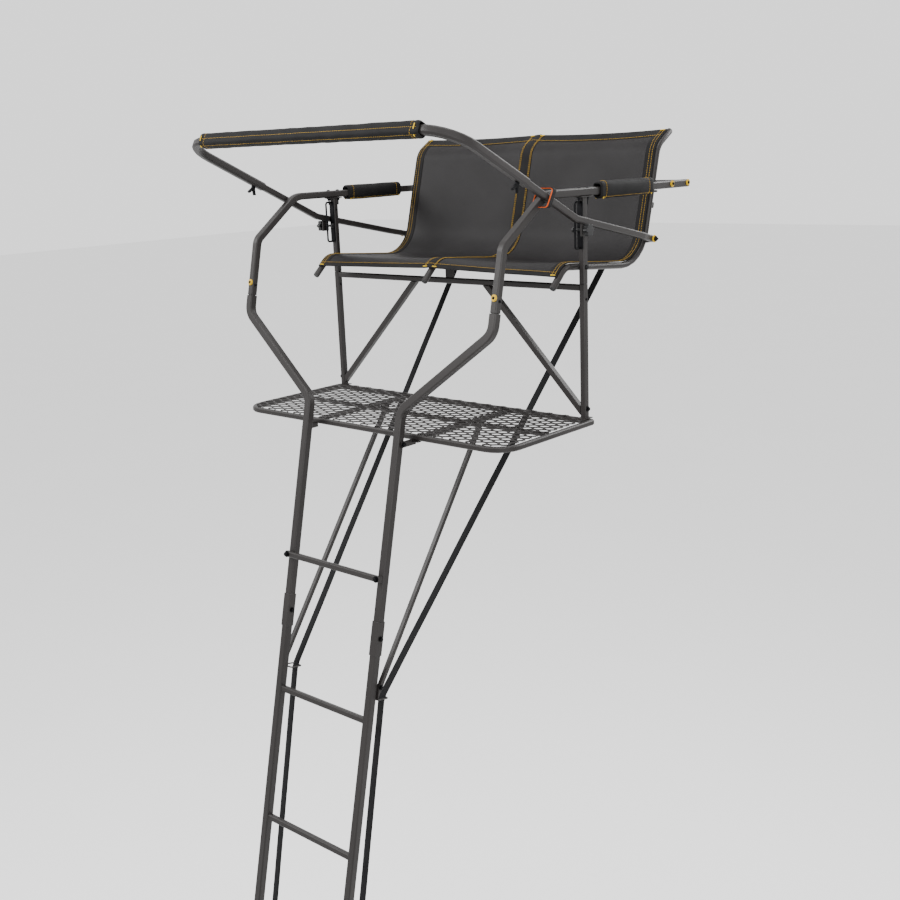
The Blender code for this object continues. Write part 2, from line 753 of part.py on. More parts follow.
def make_rail_lock(name, side, coat):
    """Wing screw under the rail that locks the arm inside it."""
    y = RAIL_REAR_Y - 0.033
    slope = rail_slope()
    z = rail_height(y)
    outline = (
        (-0.006, 0.0), (-0.006, -0.008), (-0.016, -0.024), (-0.010, -0.027), (0.0, -0.013),
        (0.010, -0.027), (0.016, -0.024), (0.006, -0.008), (0.006, 0.0),
    )
    turned = []
    drop = RAIL_OUTER / 2 + GAP
    for along, down in outline:
        level = down - drop
        turned.append((y - along * math.cos(slope) + level * math.sin(slope),
                       z + along * math.sin(slope) + level * math.cos(slope)))
    return finish(plate(name, turned, 0.008, "YZ", side * ARM_X), coat)


# ---------------------------------------------------------------- tree side

def make_tree_bar(coat):
    """Bar across behind the seat, its legs bolted inside the armrest tubes, bored for the jaw pins."""
    z = ARMREST_Z
    corners = ((-LEG_X, LEG_FRONT_Y, z), (-LEG_X, TREE_BAR_Y, z), (LEG_X, TREE_BAR_Y, z), (LEG_X, LEG_FRONT_Y, z))
    bar = tube("tree_bar", rounded_path(corners, (0.020, 0.020), 3), POST_TUBE)
    for label, side in SIDES:
        place = (side * JAW_PIVOT_X, TREE_BAR_Y, z)
        combine(bar, cylinder(f"jaw_bore_{label}", 0.0054, 0.06, place, "Z", 16, CUTTERS), "DIFFERENCE")
    return finish(bar, coat)


def make_tree_bracket(coat):
    """Toothed V that bears on the trunk."""
    front = TREE_BAR_Y + POST_TUBE / 2 + GAP
    outline = [(-0.120, front), (0.120, front), (0.135, front + 0.070)]
    teeth = 6
    for k in range(teeth):
        part = (k + 0.5) / teeth
        x = 0.128 - 0.094 * part
        y = front + 0.066 - 0.052 * part
        outline += [(x + 0.006, y - 0.004), (x, y)]
    outline += [(0.030, front + 0.006), (-0.030, front + 0.006)]
    for k in reversed(range(teeth)):
        part = (k + 0.5) / teeth
        x = 0.128 - 0.094 * part
        y = front + 0.066 - 0.052 * part
        outline += [(-x, y), (-x - 0.006, y - 0.004)]
    outline.append((-0.135, front + 0.070))
    return finish(plate("tree_bracket", outline, 0.030, "XY", ARMREST_Z), coat)


def make_rest_bar(coat):
    """Bar behind the seat's heel, with a tab at each end that carries a pivot of the shooting rail."""
    y, z = REST_BAR
    reach = TAB_X - 0.001
    bar = tube("seat_rest_bar", [(-reach, y, z), (reach, y, z)], ARM_TUBE)
    front = ARM_PIVOT[0] - 0.012
    for label, side in SIDES:
        tab = box(f"rest_bar_tab_{label}", (0.004, y - front, 0.022), (side * TAB_X, (y + front) / 2, z))
        combine(bar, tab, "UNION")
        place = (side * TAB_X, *ARM_PIVOT)
        combine(bar, cylinder(f"rest_bar_bore_{label}", 0.0044, 0.03, place, "X", 12, CUTTERS), "DIFFERENCE")
    return finish(bar, coat)


def make_rest_bar_strut(name, side, coat):
    """Strut that hangs the rest bar from the tree bar."""
    top = (TREE_BAR_Y, ARMREST_Z - POST_TUBE / 2 - GAP)
    low = (REST_BAR[0] + ARM_TUBE / 2 + GAP, REST_BAR[1])
    half = 0.009
    outline = (
        (low[0], low[1] - half), (low[0], low[1] + half),
        (top[0] - half, top[1]), (top[0] + half, top[1]),
    )
    return finish(plate(name, outline, 0.018, "YZ", side * 0.235), coat)


def arc_points(centre, radius, first, last, steps):
    points = []
    for k in range(steps + 1):
        angle = math.radians(first + (last - first) * k / steps)
        points.append((centre[0] + radius * math.cos(angle), centre[1] + radius * math.sin(angle)))
    return points


def make_jaw(name, side, coat):
    """Flat hooked arm round one side of the trunk, with an eye for the strap and a pivot pin."""
    trunk = (0.0, TRUNK_Y)
    outline = arc_points(trunk, JAW_INNER, JAW_TIP + 3, -14, 8)
    outline.append((0.300, 0.598))
    outline += arc_points((JAW_PIVOT_X, TREE_BAR_Y), 0.018, -110, 60, 6)
    outline += arc_points(trunk, JAW_INNER + JAW_WIDTH, -10, JAW_TIP, 8)
    outline = [(side * x, y) for x, y in outline]
    jaw = plate(name, outline, JAW_THICKNESS, "XY", JAW_Z - 0.006)
    pin_top = ARMREST_Z + POST_TUBE / 2 + 0.010
    pin_low = JAW_Z - 0.012
    centre = (side * JAW_PIVOT_X, TREE_BAR_Y, (pin_top + pin_low) / 2)
    combine(jaw, cylinder(name + "_pin", 0.0050, pin_top - pin_low, centre, "Z", 16), "UNION")
    eye = (side * EYE_X, EYE_Y, JAW_Z)
    combine(jaw, cylinder(name + "_eye", 0.0045, 0.04, eye, "Z", 12, CUTTERS), "DIFFERENCE")
    return finish(jaw, coat)


# ---------------------------------------------------------------- straps and ratchets

def guide_point():
    return lean_point(STRAP_X, GUIDE_Z, GUIDE_OFFSET)


def make_strap_guide(name, side, coat):
    """Wire loop on the back of a rail that the strap runs through."""
    near = RAIL_TUBE / 2 + 0.003
    far = GUIDE_OFFSET + 0.009
    half = STRAP_WIDTH / 2 + 0.006
    middle = side * STRAP_X
    corners = [(middle, near), (middle + half, near), (middle + half, far), (middle - half, far),
               (middle - half, near), (middle, near)]
    path = rounded_path([lean_point(x, GUIDE_Z, o) for x, o in corners], (0.006,) * 4, 3)[1:-1]
    return finish(round_tube(name, path, 0.005, cyclic=True), coat)


def spool_centre():
    return lean_point(STRAP_X, RATCHET_Z, SPOOL_OFFSET)


def make_strap(name, side, coat):
    """Webbing from the jaw's eye, through the guide and down to the ratchet's spool."""
    spool = spool_centre()
    top = Vector((EYE_X, EYE_Y - 0.006, JAW_Z - 0.018))
    end = spool + Vector((0, SPOOL_RADIUS + 0.0015, 0.004))
    path = rounded_path([top, guide_point(), end], (0.060,), 4)
    path = [(side * p.x, p.y, p.z) for p in path]
    strap = tube(name, path, STRAP_WIDTH, STRAP_THICKNESS, corner=0.0004)
    return finish(strap, coat)


def make_ratchet_frame(name, side, coat):
    """Two cheeks and a back plate bolted to the rail."""
    middle = side * STRAP_X
    size = (0.050, 0.004, 0.090)
    back = lean_point(middle, RATCHET_Z, RAIL_TUBE / 2 + 0.002 + GAP)
    frame = box(name, size, back, -LEAN)
    for k, sx in enumerate((-1, 1)):
        place = lean_point(middle + sx * 0.0235, RATCHET_Z, RAIL_TUBE / 2 + 0.041)
        cheek = box(f"{name}_cheek_{k}", (0.003, 0.080, 0.050), place, -LEAN)
        combine(frame, cheek, "UNION")
    centre = spool_centre()
    bore = cylinder(name + "_bore", 0.0084, 0.07, (middle, centre.y, centre.z), "X", 16, CUTTERS)
    return finish(combine(frame, bore, "DIFFERENCE"), coat)


def make_ratchet_spool(name, side, coat):
    """Slotted shaft with the wound webbing on it."""
    centre = spool_centre()
    place = (side * STRAP_X, centre.y, centre.z)
    spool = cylinder(name, 0.0080, 0.064, place, "X", 16)
    roll = cylinder(name + "_roll", SPOOL_RADIUS, 0.034, place, "X", 20)
    return finish(combine(spool, roll, "UNION"), coat)


def make_ratchet_handle(name, side, coat):
    """Forked lever on the spool's shaft, folded up along the strap."""
    centre = spool_centre()
    middle = side * STRAP_X
    reach = 0.125
    grip = lean_point(middle, RATCHET_Z + reach, SPOOL_OFFSET + 0.024)
    handle = box(name, (0.056, 0.012, 0.030), grip, -LEAN)
    for k, sx in enumerate((-1, 1)):
        place = lean_point(middle + sx * 0.0265, RATCHET_Z + reach / 2, SPOOL_OFFSET + 0.012)
        blade = box(f"{name}_blade_{k}", (0.0022, 0.036, reach + 0.020), place, -LEAN)
        combine(handle, blade, "UNION")
    bore = cylinder(name + "_bore", 0.0084, 0.08, (middle, centre.y, centre.z), "X", 16, CUTTERS)
    return finish(combine(handle, bore, "DIFFERENCE"), coat)


# ---------------------------------------------------------------- assembly

def build_frame(steel, black, oxide):
    for label, side in SIDES:
        make_rail(f"rail_{label}", side, steel)
        make_armrest_tube(f"armrest_tube_{label}", side, steel)
        make_post(f"post_{label}", side, steel)
        make_upper_post(f"upper_post_{label}", side, steel)
        make_diagonal(f"diagonal_{label}", side, steel)
        make_brace(f"brace_{label}", side, steel)
        make_platform_bar(f"platform_bar_{label}", side, steel)
        make_armrest_pad(f"armrest_pad_{label}", side, black)
        make_height_bracket(f"height_bracket_{label}", side, oxide)
        make_seat_bolt(f"seat_pivot_bolt_{label}", side, oxide)
        make_arm_pivot_bolt(f"arm_pivot_bolt_{label}", side, oxide)
        make_rest_bar_strut(f"rest_bar_strut_{label}", side, steel)
    make_crossbar(steel)
    make_top_rung(steel)
    make_platform_frame(steel)
    make_platform_cross_bar(steel)
    make_platform_mesh(steel)
    make_rest_bar(steel)
    make_tree_bar(steel)
    make_tree_bracket(steel)
    for index, name in enumerate(("ladder_section_upper", "ladder_section_middle", "ladder_section_lower")):
        make_ladder_section(name, index, steel)


def build_seat(steel, black, datum):
    pivot = empty("seat_pivot", (0, *SEAT_PIVOT), datum)
    for label, x in (("left", -SEAT_X), ("middle", 0.0), ("right", SEAT_X)):
        attach(make_seat_tube(f"seat_tube_{label}", x, steel), pivot)
    attach(make_seat_sling(black), pivot)
    attach(make_seat_cross_tube(steel), pivot)


def build_shooting_rail(steel, black, plastic, oxide, datum):
    pivot = empty("arm_pivot", (0, *ARM_PIVOT), datum)
    for item in (make_shooting_rail(steel), make_rail_pad(black)):
        attach(item, pivot)
    for label, side in SIDES:
        attach(make_rail_arm(f"rail_arm_{label}", side, steel), pivot)
        knob_axis = empty(f"knob_axis_{label}", (side * ARM_X, *KNOB), datum)
        attach(make_height_knob(f"height_knob_{label}", side, plastic), knob_axis)
        attach(make_rail_lock(f"rail_lock_{label}", side, oxide), pivot)


def build_tree_side(steel, black, metal, datum):
    centre = spool_centre()
    for label, side in SIDES:
        jaw_axis = empty(f"jaw_axis_{label}", (side * JAW_PIVOT_X, TREE_BAR_Y, JAW_Z), datum)
        attach(make_jaw(f"jaw_{label}", side, steel), jaw_axis)
        make_strap_guide(f"strap_guide_{label}", side, steel)
        make_strap(f"strap_{label}", side, black)
        make_ratchet_frame(f"ratchet_frame_{label}", side, metal)
        spool_axis = empty(f"spool_axis_{label}", (side * STRAP_X, centre.y, centre.z), datum)
        attach(make_ratchet_spool(f"ratchet_spool_{label}", side, metal), spool_axis)
        attach(make_ratchet_handle(f"ratchet_handle_{label}", side, metal), spool_axis)


def main():
    clear_scene()
    make_collection(PARTS)
    make_collection(CUTTERS)
    datum = empty("platform_datum", DATUM)
    steel = powder_coat()
    black = black_nylon()
    plastic = black_plastic()
    oxide = black_oxide()
    metal = zinc()
    build_frame(steel, black, oxide)
    build_seat(steel, black, datum)
    build_shooting_rail(steel, black, plastic, oxide, datum)
    build_tree_side(steel, black, metal, datum)


main()
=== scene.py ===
"""Looks of the ladder tree stand on its CAD frame: materials, soft goods, grating, fasteners and studio."""

import math

import bmesh
import bpy
from mathutils import Matrix, Vector, noise


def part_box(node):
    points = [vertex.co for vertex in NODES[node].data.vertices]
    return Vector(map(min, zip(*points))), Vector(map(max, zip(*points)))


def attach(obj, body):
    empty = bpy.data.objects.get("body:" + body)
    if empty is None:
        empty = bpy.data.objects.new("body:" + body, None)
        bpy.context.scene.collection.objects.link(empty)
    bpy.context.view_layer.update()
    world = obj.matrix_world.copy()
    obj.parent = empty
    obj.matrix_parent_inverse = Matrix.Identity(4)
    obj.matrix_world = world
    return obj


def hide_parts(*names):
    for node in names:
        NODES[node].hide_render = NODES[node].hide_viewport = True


SIDES = (("left", -1), ("right", 1))

# Driving places of the frame, in metres from the platform datum
LEAN = math.radians(13.0)
FRONT_Y = -0.4725
RAIL_X = 0.1925
BRACE_X = 0.204
STRAP_X = 0.190
REAR_X = 0.5135
SIDE_X = 0.502
UPPER_POST_Y = FRONT_Y - 0.010
ARMREST_X = 0.527
ARMREST_FRONT_X = 0.5115
ARMREST_FRONT_Y = -0.178
ARMREST_BEND_Y = 0.360
ARMREST_Z = 0.6715
ARM_PIVOT = (0.354, 0.512)
FIRST_JOINT_Z = -0.566
SECTION_LENGTH = 1.230
SECTION_JOINTS = 3
MESH_ABOVE_DATUM = 0.0143

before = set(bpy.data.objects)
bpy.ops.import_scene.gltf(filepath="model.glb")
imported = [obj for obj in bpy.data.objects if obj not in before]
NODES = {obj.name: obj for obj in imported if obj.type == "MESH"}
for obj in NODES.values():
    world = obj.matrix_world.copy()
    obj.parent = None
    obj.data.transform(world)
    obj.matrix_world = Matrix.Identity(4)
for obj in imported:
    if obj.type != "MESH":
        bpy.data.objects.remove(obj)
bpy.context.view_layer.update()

# The platform datum: midway between the rear posts, at platform level
datum_y = sum(corner.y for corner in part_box("post_left")) / 2
DATUM = Vector((0.0, datum_y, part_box("platform_mesh")[1].z - MESH_ABOVE_DATUM))


def at(x, y, z):
    """A point given from the platform datum, in the row frame."""
    return DATUM + Vector((x, y, z))


def ladder(x, z, offset=0.0):
    """A point on the ladder's leaning plane."""
    y = FRONT_Y + math.tan(LEAN) * z
    return at(x, y + offset * math.cos(LEAN), z - offset * math.sin(LEAN))


# ---------------------------------------------------------------- camera and light

VIEW_PLACE = at(2.4746, -2.8269, 0.7995)
VIEW_AZIMUTH = math.radians(41.53)
VIEW_ELEVATION = math.radians(14.30)
VIEW_ROLL = math.radians(-2.26)
VIEW_LENS = 46.96
VIEW_SENSOR = 36.0
WORLD_STRENGTH = 1.5

camera = bpy.data.objects.new("camera", bpy.data.cameras.new("camera"))
bpy.context.scene.collection.objects.link(camera)
camera.data.lens = VIEW_LENS
camera.data.sensor_width = VIEW_SENSOR
camera.matrix_world = (
    Matrix.Translation(VIEW_PLACE)
    @ Matrix.Rotation(VIEW_AZIMUTH, 4, "Z")
    @ Matrix.Rotation(math.pi / 2 - VIEW_ELEVATION, 4, "X")
    @ Matrix.Rotation(VIEW_ROLL, 4, "Z")
)
bpy.context.scene.camera = camera


def area_light(name, location, target, size, power):
    light = bpy.data.lights.new(name, "AREA")
    light.size = size
    light.energy = power
    lamp = bpy.data.objects.new(name, light)
    lamp.location = location
    lamp.rotation_euler = (Vector(target) - Vector(location)).to_track_quat("-Z", "Y").to_euler()
    bpy.context.scene.collection.objects.link(lamp)


area_light("key", at(-3.2, -4.2, 3.6), at(0, 0, 0.1), 2.6, 520)
area_light("fill", at(4.6, -3.0, 1.2), at(0, 0, -0.2), 3.2, 230)
area_light("top", at(0.6, -0.6, 4.6), at(0, 0, 0), 3.0, 210)
area_light("rim", at(1.6, 4.4, 2.6), at(0, 0, 0.2), 2.6, 220)

world = bpy.data.worlds.new("studio")
bpy.context.scene.world = world
world.use_nodes = True
background = world.node_tree.nodes["Background"].inputs
background["Color"].default_value = (1.0, 1.0, 1.0, 1.0)
background["Strength"].default_value = WORLD_STRENGTH


# ---------------------------------------------------------------- materials

class Nodes:
    """Small helper for building a node tree."""

    def __init__(self, name):
        self.material = bpy.data.materials.new(name)
        self.material.use_nodes = True
        self.tree = self.material.node_tree
        self.shader = self.tree.nodes["Principled BSDF"]

    def node(self, kind, **inputs):
        made = self.tree.nodes.new(kind)
        for key, value in inputs.items():
            made.inputs[key.replace("_", " ")].default_value = value
        return made

    def join(self, source, target):
        self.tree.links.new(source, target)

    def set(self, **values):
        for key, value in values.items():
            self.shader.inputs[key.replace("_", " ")].default_value = value
        return self

    def coords(self, kind="Object", scale=(1, 1, 1)):
        place = self.node("ShaderNodeMapping", Scale=scale)
        self.join(self.node("ShaderNodeTexCoord").outputs[kind], place.inputs["Vector"])
        return place.outputs["Vector"]

    def noise(self, vector, scale, detail=3.0):
        made = self.node("ShaderNodeTexNoise", Scale=scale, Detail=detail)
        self.join(vector, made.inputs["Vector"])
        return made.outputs["Fac"]

    def ramp(self, factor, low, high, start=0.0, end=1.0):
        """Maps a factor onto a colour or grey range."""
        made = self.node("ShaderNodeValToRGB")
        for stop, value, place in zip(made.color_ramp.elements, (low, high), (start, end)):
            stop.position = place
            stop.color = (*value, 1.0) if isinstance(value, tuple) else (value, value, value, 1.0)
        self.join(factor, made.inputs["Fac"])
        return made.outputs["Color"]

    def math(self, operation, a, b=None, value=0.0):
        made = self.tree.nodes.new("ShaderNodeMath")
        made.operation = operation
        self.join(a, made.inputs[0])
        if b is not None:
            self.join(b, made.inputs[1])
        else:
            made.inputs[1].default_value = value
        return made.outputs[0]

    def wave(self, vector, scale, direction):
        made = self.node("ShaderNodeTexWave", Scale=scale)
        made.bands_direction = direction
        made.wave_profile = "SIN"
        self.join(vector, made.inputs["Vector"])
        return made.outputs["Fac"]

    def bump(self, height, strength, distance):
        made = self.node("ShaderNodeBump", Strength=strength, Distance=distance)
        self.join(height, made.inputs["Height"])
        self.join(made.outputs["Normal"], self.shader.inputs["Normal"])
        return self


def coated_metal(name, low, high, roughness, grain=1400.0, strength=0.22):
    """Powder coat: slightly uneven colour, orange-peel grain."""
    n = Nodes(name).set(Metallic=0.0, Specular_IOR_Level=0.24)
    spot = n.coords()
    n.join(n.ramp(n.noise(spot, 4.0), low, high, 0.3, 0.7), n.shader.inputs["Base Color"])
    n.join(n.ramp(n.noise(spot, 22.0), roughness - 0.06, roughness + 0.08), n.shader.inputs["Roughness"])
    return n.bump(n.noise(spot, grain, 2.0), strength, 0.0004).material


def bare_metal(name, color, roughness, grain=600.0):
    """Plated or blackened steel with faint handling marks."""
    n = Nodes(name).set(Metallic=1.0)
    spot = n.coords()
    darker = tuple(c * 0.72 for c in color)
    n.join(n.ramp(n.noise(spot, 60.0), darker, color, 0.25, 0.75), n.shader.inputs["Base Color"])
    n.join(n.ramp(n.noise(spot, 180.0), roughness - 0.08, roughness + 0.12), n.shader.inputs["Roughness"])
    return n.bump(n.noise(spot, grain), 0.08, 0.0003).material


def plain_plastic(name, color, roughness, grain=900.0):
    """Moulded plastic, also used for thread."""
    n = Nodes(name)
    spot = n.coords()
    lighter = tuple(c * 1.25 for c in color)
    n.join(n.ramp(n.noise(spot, 30.0), color, lighter), n.shader.inputs["Base Color"])
    n.set(Roughness=roughness, Specular_IOR_Level=0.3)
    return n.bump(n.noise(spot, grain), 0.15, 0.0003).material


def webbing(name, color, rib=0.0021):
    """Woven strap: ribs along its length crossed by diagonals, from the strip's own UVs in metres."""
    n = Nodes(name).set(Roughness=0.82, Specular_IOR_Level=0.16)
    spot = n.coords("UV")
    along = n.wave(spot, 0.5 / rib, "X")
    across = n.wave(spot, 0.5 / (rib * 0.8), "DIAGONAL")
    weave = n.math("MULTIPLY", along, across)
    lighter = tuple(c * 1.9 + 0.004 for c in color)
    n.join(n.ramp(weave, color, lighter), n.shader.inputs["Base Color"])
    return n.bump(weave, 0.5, 0.0006).material


def pad_cloth(name, color):
    """Close-woven nylon over foam."""
    n = Nodes(name).set(Roughness=0.70, Specular_IOR_Level=0.12)
    spot = n.coords()
    weave = n.math("ADD", n.wave(spot, 420.0, "X"), n.wave(spot, 420.0, "DIAGONAL"))
    lighter = tuple(c * 1.8 + 0.003 for c in color)
    n.join(n.ramp(n.noise(spot, 14.0), color, lighter, 0.3, 0.8), n.shader.inputs["Base Color"])
    return n.bump(weave, 0.25, 0.0004).material


def sling_mesh(name, color, see_through=0.1, pitch=0.0032):
    """Coated mesh fabric: crossing yarns with small openings that let a little light through."""
    n = Nodes(name).set(Roughness=0.55, Specular_IOR_Level=0.14)
    spot = n.coords("UV")
    warp = n.wave(spot, 0.5 / pitch, "X")
    weft = n.wave(spot, 0.5 / pitch, "Y")
    weave = n.math("MULTIPLY", warp, weft)
    lighter = tuple(c * 1.5 + 0.003 for c in color)
    base = n.ramp(n.noise(n.coords(), 7.0), color, lighter, 0.25, 0.8)
    n.join(base, n.shader.inputs["Base Color"])
    n.bump(weave, 0.35, 0.0005)
    hole = n.math("GREATER_THAN", weave, value=0.55)
    n.join(n.math("ADD", n.math("MULTIPLY", hole, value=-see_through), value=1.0), n.shader.inputs["Alpha"])
    return n.material


POWDER = coated_metal("powder_coat_tube", (0.0090, 0.0076, 0.0072), (0.0130, 0.0112, 0.0108), 0.44)
ZINC = bare_metal("zinc_plate_bright", (0.30, 0.30, 0.29), 0.38)
OXIDE = bare_metal("black_oxide_steel", (0.010, 0.010, 0.011), 0.50)
PLASTIC = plain_plastic("black_moulding", (0.0030, 0.0030, 0.0033), 0.50)
CAP = plain_plastic("end_cap_plastic", (0.004, 0.004, 0.0045), 0.55)
WEBBING = webbing("strap_webbing", (0.0035, 0.0035, 0.0040))
PAD = pad_cloth("pad_nylon", (0.0018, 0.0017, 0.0018))
SLING = sling_mesh("sling_fabric", (0.0036, 0.0030, 0.0032))
# A darker solid nylon, used for the strips laid on the sling and for the strap stitching
DARK_NYLON = pad_cloth("dark_nylon", (0.0015, 0.0013, 0.0014))
THREAD = plain_plastic("yellow_thread", (0.30, 0.175, 0.010), 0.7)
TACK = plain_plastic("yellow_bar_tack", (0.38, 0.245, 0.004), 0.65)
BUSHING = plain_plastic("yellow_bushing", (0.36, 0.225, 0.001), 0.5)
ORANGE = webbing("orange_strap", (0.30, 0.045, 0.004), 0.0015)


def floor_material():
    n = Nodes("studio_floor").set(Roughness=0.9, Specular_IOR_Level=0.1)
    shade = n.ramp(n.noise(n.coords(), 0.6), (0.86, 0.86, 0.86), (0.88, 0.88, 0.88))
    n.join(shade, n.shader.inputs["Base Color"])
    return n.material


# ---------------------------------------------------------------- mesh helpers

SHARP_ANGLE = math.radians(38)


def add_object(name, mesh, material, body=None, smooth=True, replaces=()):
    item = bpy.data.objects.new(name, mesh)
    bpy.context.scene.collection.objects.link(item)
    mesh.materials.append(material)
    if smooth:
        mesh.shade_smooth()
        mesh.set_sharp_from_angle(angle=SHARP_ANGLE)
    if body:
        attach(item, body)
    if replaces:
        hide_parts(*replaces)
    return item


class Builder:
    """Collects simple solids and swept sections into one mesh."""

    def __init__(self):
        self.work = bmesh.new()
        self.uv = self.work.loops.layers.uv.new("UVMap")

    def cylinder(self, centre, axis, radius, length, sides=20, radius_2=None):
        turn = Vector(axis).to_track_quat("Z", "Y").to_matrix().to_4x4()
        bmesh.ops.create_cone(
            self.work, cap_ends=True, segments=sides, radius1=radius,
            radius2=radius if radius_2 is None else radius_2, depth=length,
            matrix=Matrix.Translation(centre) @ turn)

    def hexagon(self, centre, axis, across, length):
        self.cylinder(centre, axis, across / math.sqrt(3), length, 6)

    def dome(self, centre, axis, radius, height):
        """A low rounded cap whose flat side is at centre."""
        turn = Vector(axis).to_track_quat("Z", "Y").to_matrix().to_4x4()
        squash = Matrix.Diagonal((1, 1, height / radius, 1))
        bmesh.ops.create_uvsphere(self.work, u_segments=16, v_segments=8, radius=radius,
                                  matrix=Matrix.Translation(centre) @ turn @ squash)

    def ring(self, centre, axis, radius, thickness, segments=24, sides=8):
        axis = Vector(axis).normalized()
        first = axis.orthogonal().normalized()
        second = axis.cross(first)
        path = []
        for k in range(segments):
            angle = math.tau * k / segments
            path.append(Vector(centre) + (first * math.cos(angle) + second * math.sin(angle)) * radius)
        self.rod(path, thickness, sides, closed=True)

    def box(self, centre, size, matrix=None, bevel=0.0):
        turn = matrix.to_4x4() if matrix is not None else Matrix.Identity(4)
        made = bmesh.ops.create_cube(
            self.work, size=1.0, matrix=Matrix.Translation(centre) @ turn @ Matrix.Diagonal((*size, 1)))
        if bevel:
            edges = list({e for v in made["verts"] for e in v.link_edges})
            bmesh.ops.bevel(self.work, geom=edges, offset=bevel, segments=2, affect="EDGES", profile=0.7)

    def rod(self, path, radius, sides=8, closed=False):
        section = [(radius * math.cos(math.tau * k / sides), radius * math.sin(math.tau * k / sides))
                   for k in range(sides)]
        self.sweep(path, section, closed=closed)

    def sweep(self, path, section, across=None, closed=False):
        """Sweeps a closed section along path. across fixes its first axis, which else is carried along."""
        path = [Vector(p) for p in path]
        count = len(path)
        rings = []
        lengths = [0.0]
        for a, b in zip(path, path[1:]):
            lengths.append(lengths[-1] + (b - a).length)
        girth = [0.0]
        for a, b in zip(section, section[1:] + section[:1]):
            girth.append(girth[-1] + math.dist(a, b))
        side = None
        for k, point in enumerate(path):
            before = path[(k - 1) % count] if closed else path[max(k - 1, 0)]
            after = path[(k + 1) % count] if closed else path[min(k + 1, count - 1)]
            along = (after - before).normalized()
            if across is not None:
                side = Vector(across)
            elif side is None:
                side = along.orthogonal()
            side = (side - along * side.dot(along)).normalized()
            out = along.cross(side)
            rings.append([self.work.verts.new(point + side * a + out * b) for a, b in section])
        steps = count if closed else count - 1
        size = len(section)
        for k in range(steps):
            one, two = rings[k], rings[(k + 1) % count]
            top = lengths[k + 1] if k + 1 < count else lengths[k] + (path[0] - path[k]).length
            for j in range(size):
                face = self.work.faces.new((one[j], one[(j + 1) % size], two[(j + 1) % size], two[j]))
                low = lengths[k]
                spots = ((girth[j], low), (girth[j + 1], low), (girth[j + 1], top), (girth[j], top))
                for loop, spot in zip(face.loops, spots):
                    loop[self.uv].uv = spot
        if not closed:
            self.work.faces.new(rings[0][::-1])
            self.work.faces.new(rings[-1])

    def finish(self, name, material, body, replaces=()):
        bmesh.ops.recalc_face_normals(self.work, faces=self.work.faces)
        mesh = bpy.data.meshes.new(name)
        self.work.to_mesh(mesh)
        self.work.free()
        return add_object(name, mesh, material, body, replaces=replaces)


def rounded_path(corners, radii, steps=8):
    """Corner points joined by straight runs with each inner corner turned into an arc."""
    corners = [Vector(c) for c in corners]
    points = [corners[0]]
    for before, corner, after, radius in zip(corners, corners[1:], corners[2:], radii):
        back = (before - corner).normalized()
        ahead = (after - corner).normalized()
        turn = math.pi - back.angle(ahead)
        centre = corner + (back + ahead).normalized() * radius / math.cos(turn / 2)
        start = corner + back * radius * math.tan(turn / 2) - centre
        end = corner + ahead * radius * math.tan(turn / 2) - centre
        axis = start.cross(end).normalized()
        for k in range(steps + 1):
            points.append(centre + Matrix.Rotation(turn * k / steps, 3, axis) @ start)
    points.append(corners[-1])
    return points


def resample(path, step):
    """Points at even spacing along a path."""
    path = [Vector(p) for p in path]
    total = sum((b - a).length for a, b in zip(path, path[1:]))
    count = max(2, round(total / step) + 1)
    made = [path[0].copy()]
    k, used = 0, 0.0
    for j in range(1, count - 1):
        target = total * j / (count - 1)
        while used + (path[k + 1] - path[k]).length < target:
            used += (path[k + 1] - path[k]).length
            k += 1
        span = path[k + 1] - path[k]
        made.append(path[k] + span * ((target - used) / span.length))
    made.append(path[-1].copy())
    return made


STITCH_SPACING = 0.0072
THREAD_RADIUS = 0.00048


def stitches(name, rows, body, material=THREAD):
    """Rows of thread dashes, two thirds thread and one third gap. Each row is a path on the cloth."""
    made = Builder()
    for row in rows:
        points = resample(row, STITCH_SPACING / 3)
        for k in range(0, len(points) - 2, 3):
            made.rod(points[k:k + 3], THREAD_RADIUS, 5)
    return made.finish(name, material, body)


# ---------------------------------------------------------------- materials of the CAD nodes

WELD_DISTANCE = 0.000005
BEVEL_ANGLE = math.radians(25)
TUBE_BEVEL = 0.0008


def dress(material, *names, bevel=0.0):
    """Gives CAD nodes a material, smooth shading and, where wanted, softened edges."""
    for name in names:
        node = NODES[name]
        node.data.materials.clear()
        node.data.materials.append(material)
        if "custom_normal" in node.data.attributes:
            node.data.attributes.remove(node.data.attributes["custom_normal"])
        node.data.shade_smooth()
        weld = node.modifiers.new("weld", "WELD")
        weld.merge_threshold = WELD_DISTANCE
        if bevel:
            soften = node.modifiers.new("soften", "BEVEL")
            soften.width = bevel
            soften.segments = 2
            soften.limit_method = "ANGLE"
            soften.angle_limit = BEVEL_ANGLE
        even = node.modifiers.new("even_normals", "WEIGHTED_NORMAL")
        even.mode = "FACE_AREA"
        even.weight = 50
        even.keep_sharp = False


def both(*names):
    """The left and right node of each name."""
    return [f"{name}_{label}" for name in names for label, _ in SIDES]


